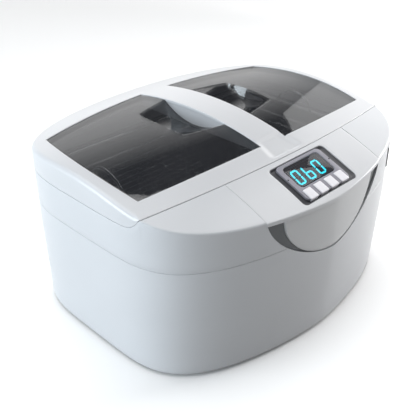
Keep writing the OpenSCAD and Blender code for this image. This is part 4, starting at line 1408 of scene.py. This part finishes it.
def light(name, place, size, energy, colour):
    data = bpy.data.lights.new(name, "AREA")
    data.shape = "RECTANGLE"
    data.size, data.size_y = size
    data.energy = energy
    data.color = colour
    lamp = show(name, data)
    lamp.location = place
    lamp.rotation_euler = (Vector(LAMPS_AIM) - Vector(place)).to_track_quat("-Z", "Y").to_euler()
    lamp.visible_camera = False


def shade_world(tree):
    """A dim room with one broad pale glow behind the object to the right, and a paler floor half."""
    place = tree.nodes.new("ShaderNodeTexCoord").outputs["Generated"]
    across = cos(GLOW_RISE)
    axis = (cos(GLOW_AZIMUTH) * across, sin(GLOW_AZIMUTH) * across, sin(GLOW_RISE))
    facing = add_node(tree, "VectorMath", {0: place, 1: axis}, operation="DOT_PRODUCT").outputs["Value"]
    height = add_node(tree, "SeparateXYZ", {0: place}).outputs["Z"]
    below = add_node(tree, "Math", {0: height, 1: 0.0}, operation="LESS_THAN").outputs[0]
    glow = map_range(tree, facing, (0.80, 0.96), (0.17, 1.7))
    bounce = map_range(tree, height, (-0.8, -0.45), (0.0, 0.6))
    room = add_node(tree, "Mix", {0: below, 2: glow, 3: bounce}).outputs[0]
    # The camera itself sees plain white
    camera_ray = tree.nodes.new("ShaderNodeLightPath").outputs["Is Camera Ray"]
    seen = add_node(tree, "Mix", {0: camera_ray, 2: room, 3: 1.0}).outputs[0]
    background = tree.nodes["Background"]
    background.inputs["Color"].default_value = (1, 1, 1, 1)
    tree.links.new(seen, background.inputs["Strength"])


def octabox(strength):
    """An eight-sided softbox that stands upright to the right of the object."""
    mesh = bpy.data.meshes.new("octabox")
    mesh.from_pydata([(OCTABOX_X, y, z) for y, z in OCTABOX_EDGE], [], [tuple(range(8))])
    glow = Nodes("softbox_cloth")
    emission = add_node(glow.tree, "Emission", {"Strength": strength})
    glow.tree.links.new(emission.outputs[0], glow.tree.nodes["Material Output"].inputs["Surface"])
    mesh.materials.append(glow.material)
    panel_light = show("octabox", mesh)
    panel_light.visible_camera = False


def studio():
    scene = bpy.context.scene
    scene.view_settings.view_transform = "Standard"
    scene.view_settings.look = "None"
    world = bpy.data.worlds.new("studio")
    scene.world = world
    world.use_nodes = True
    shade_world(world.node_tree)
    for lamp in LAMPS:
        light(*lamp)
    octabox(1.8)
    data = bpy.data.lights.new("overhead", "SUN")
    data.energy = 1.75
    data.angle = radians(62)
    show("overhead", data).rotation_euler = (radians(-14), radians(-6), 0)
    floor = bpy.data.meshes.new("floor")
    corners = [(x * FLOOR_HALF, y * FLOOR_HALF, 0) for x, y in ((-1, -1), (1, -1), (1, 1), (-1, 1))]
    floor.from_pydata(corners, [], [(0, 1, 2, 3)])
    ground = show("floor", floor)
    ground.data.materials.append(finish("pale_floor", (0.98, 0.98, 0.98), 0.9, 0.0, Specular_IOR_Level=0.0))
    ground.visible_diffuse = False
    data = bpy.data.cameras.new("camera")
    data.sensor_width = 36
    data.lens = CAMERA_LENS
    camera = show("camera", data)
    camera.location = CAMERA_PLACE
    aim = Vector(CAMERA_AIM) - camera.location
    camera.rotation_euler = aim.to_track_quat("-Z", "Y").to_euler()
    data.clip_start = 0.01
    scene.camera = camera


studio()
lower_casing()
upper_casing()
control_cover()
badge_panel()
crescent_trim()
side_grille()
lid_frame()
for side, name in ((-1, "left"), (1, "right")):
    lid_window(side, name + "_smoked_window", name + "_lid_window")
control_bezel()
display_plate()
display_lens()
lens_frame()
display_figures()
for index, name in enumerate(("start_button", "stop_button", "timer_button", "heat_button")):
    push_button(index, name)
indicator_lens(-1, "left_indicator_lens")
indicator_lens(1, "right_indicator_lens")
deep_drawn_tank()
basket_mesh()
basket_frame()
basket_handle("left_basket_handle")
basket_handle("right_basket_handle")
for name in ("front_left_foot", "front_right_foot", "rear_left_foot", "rear_right_foot"):
    rubber_foot(name)
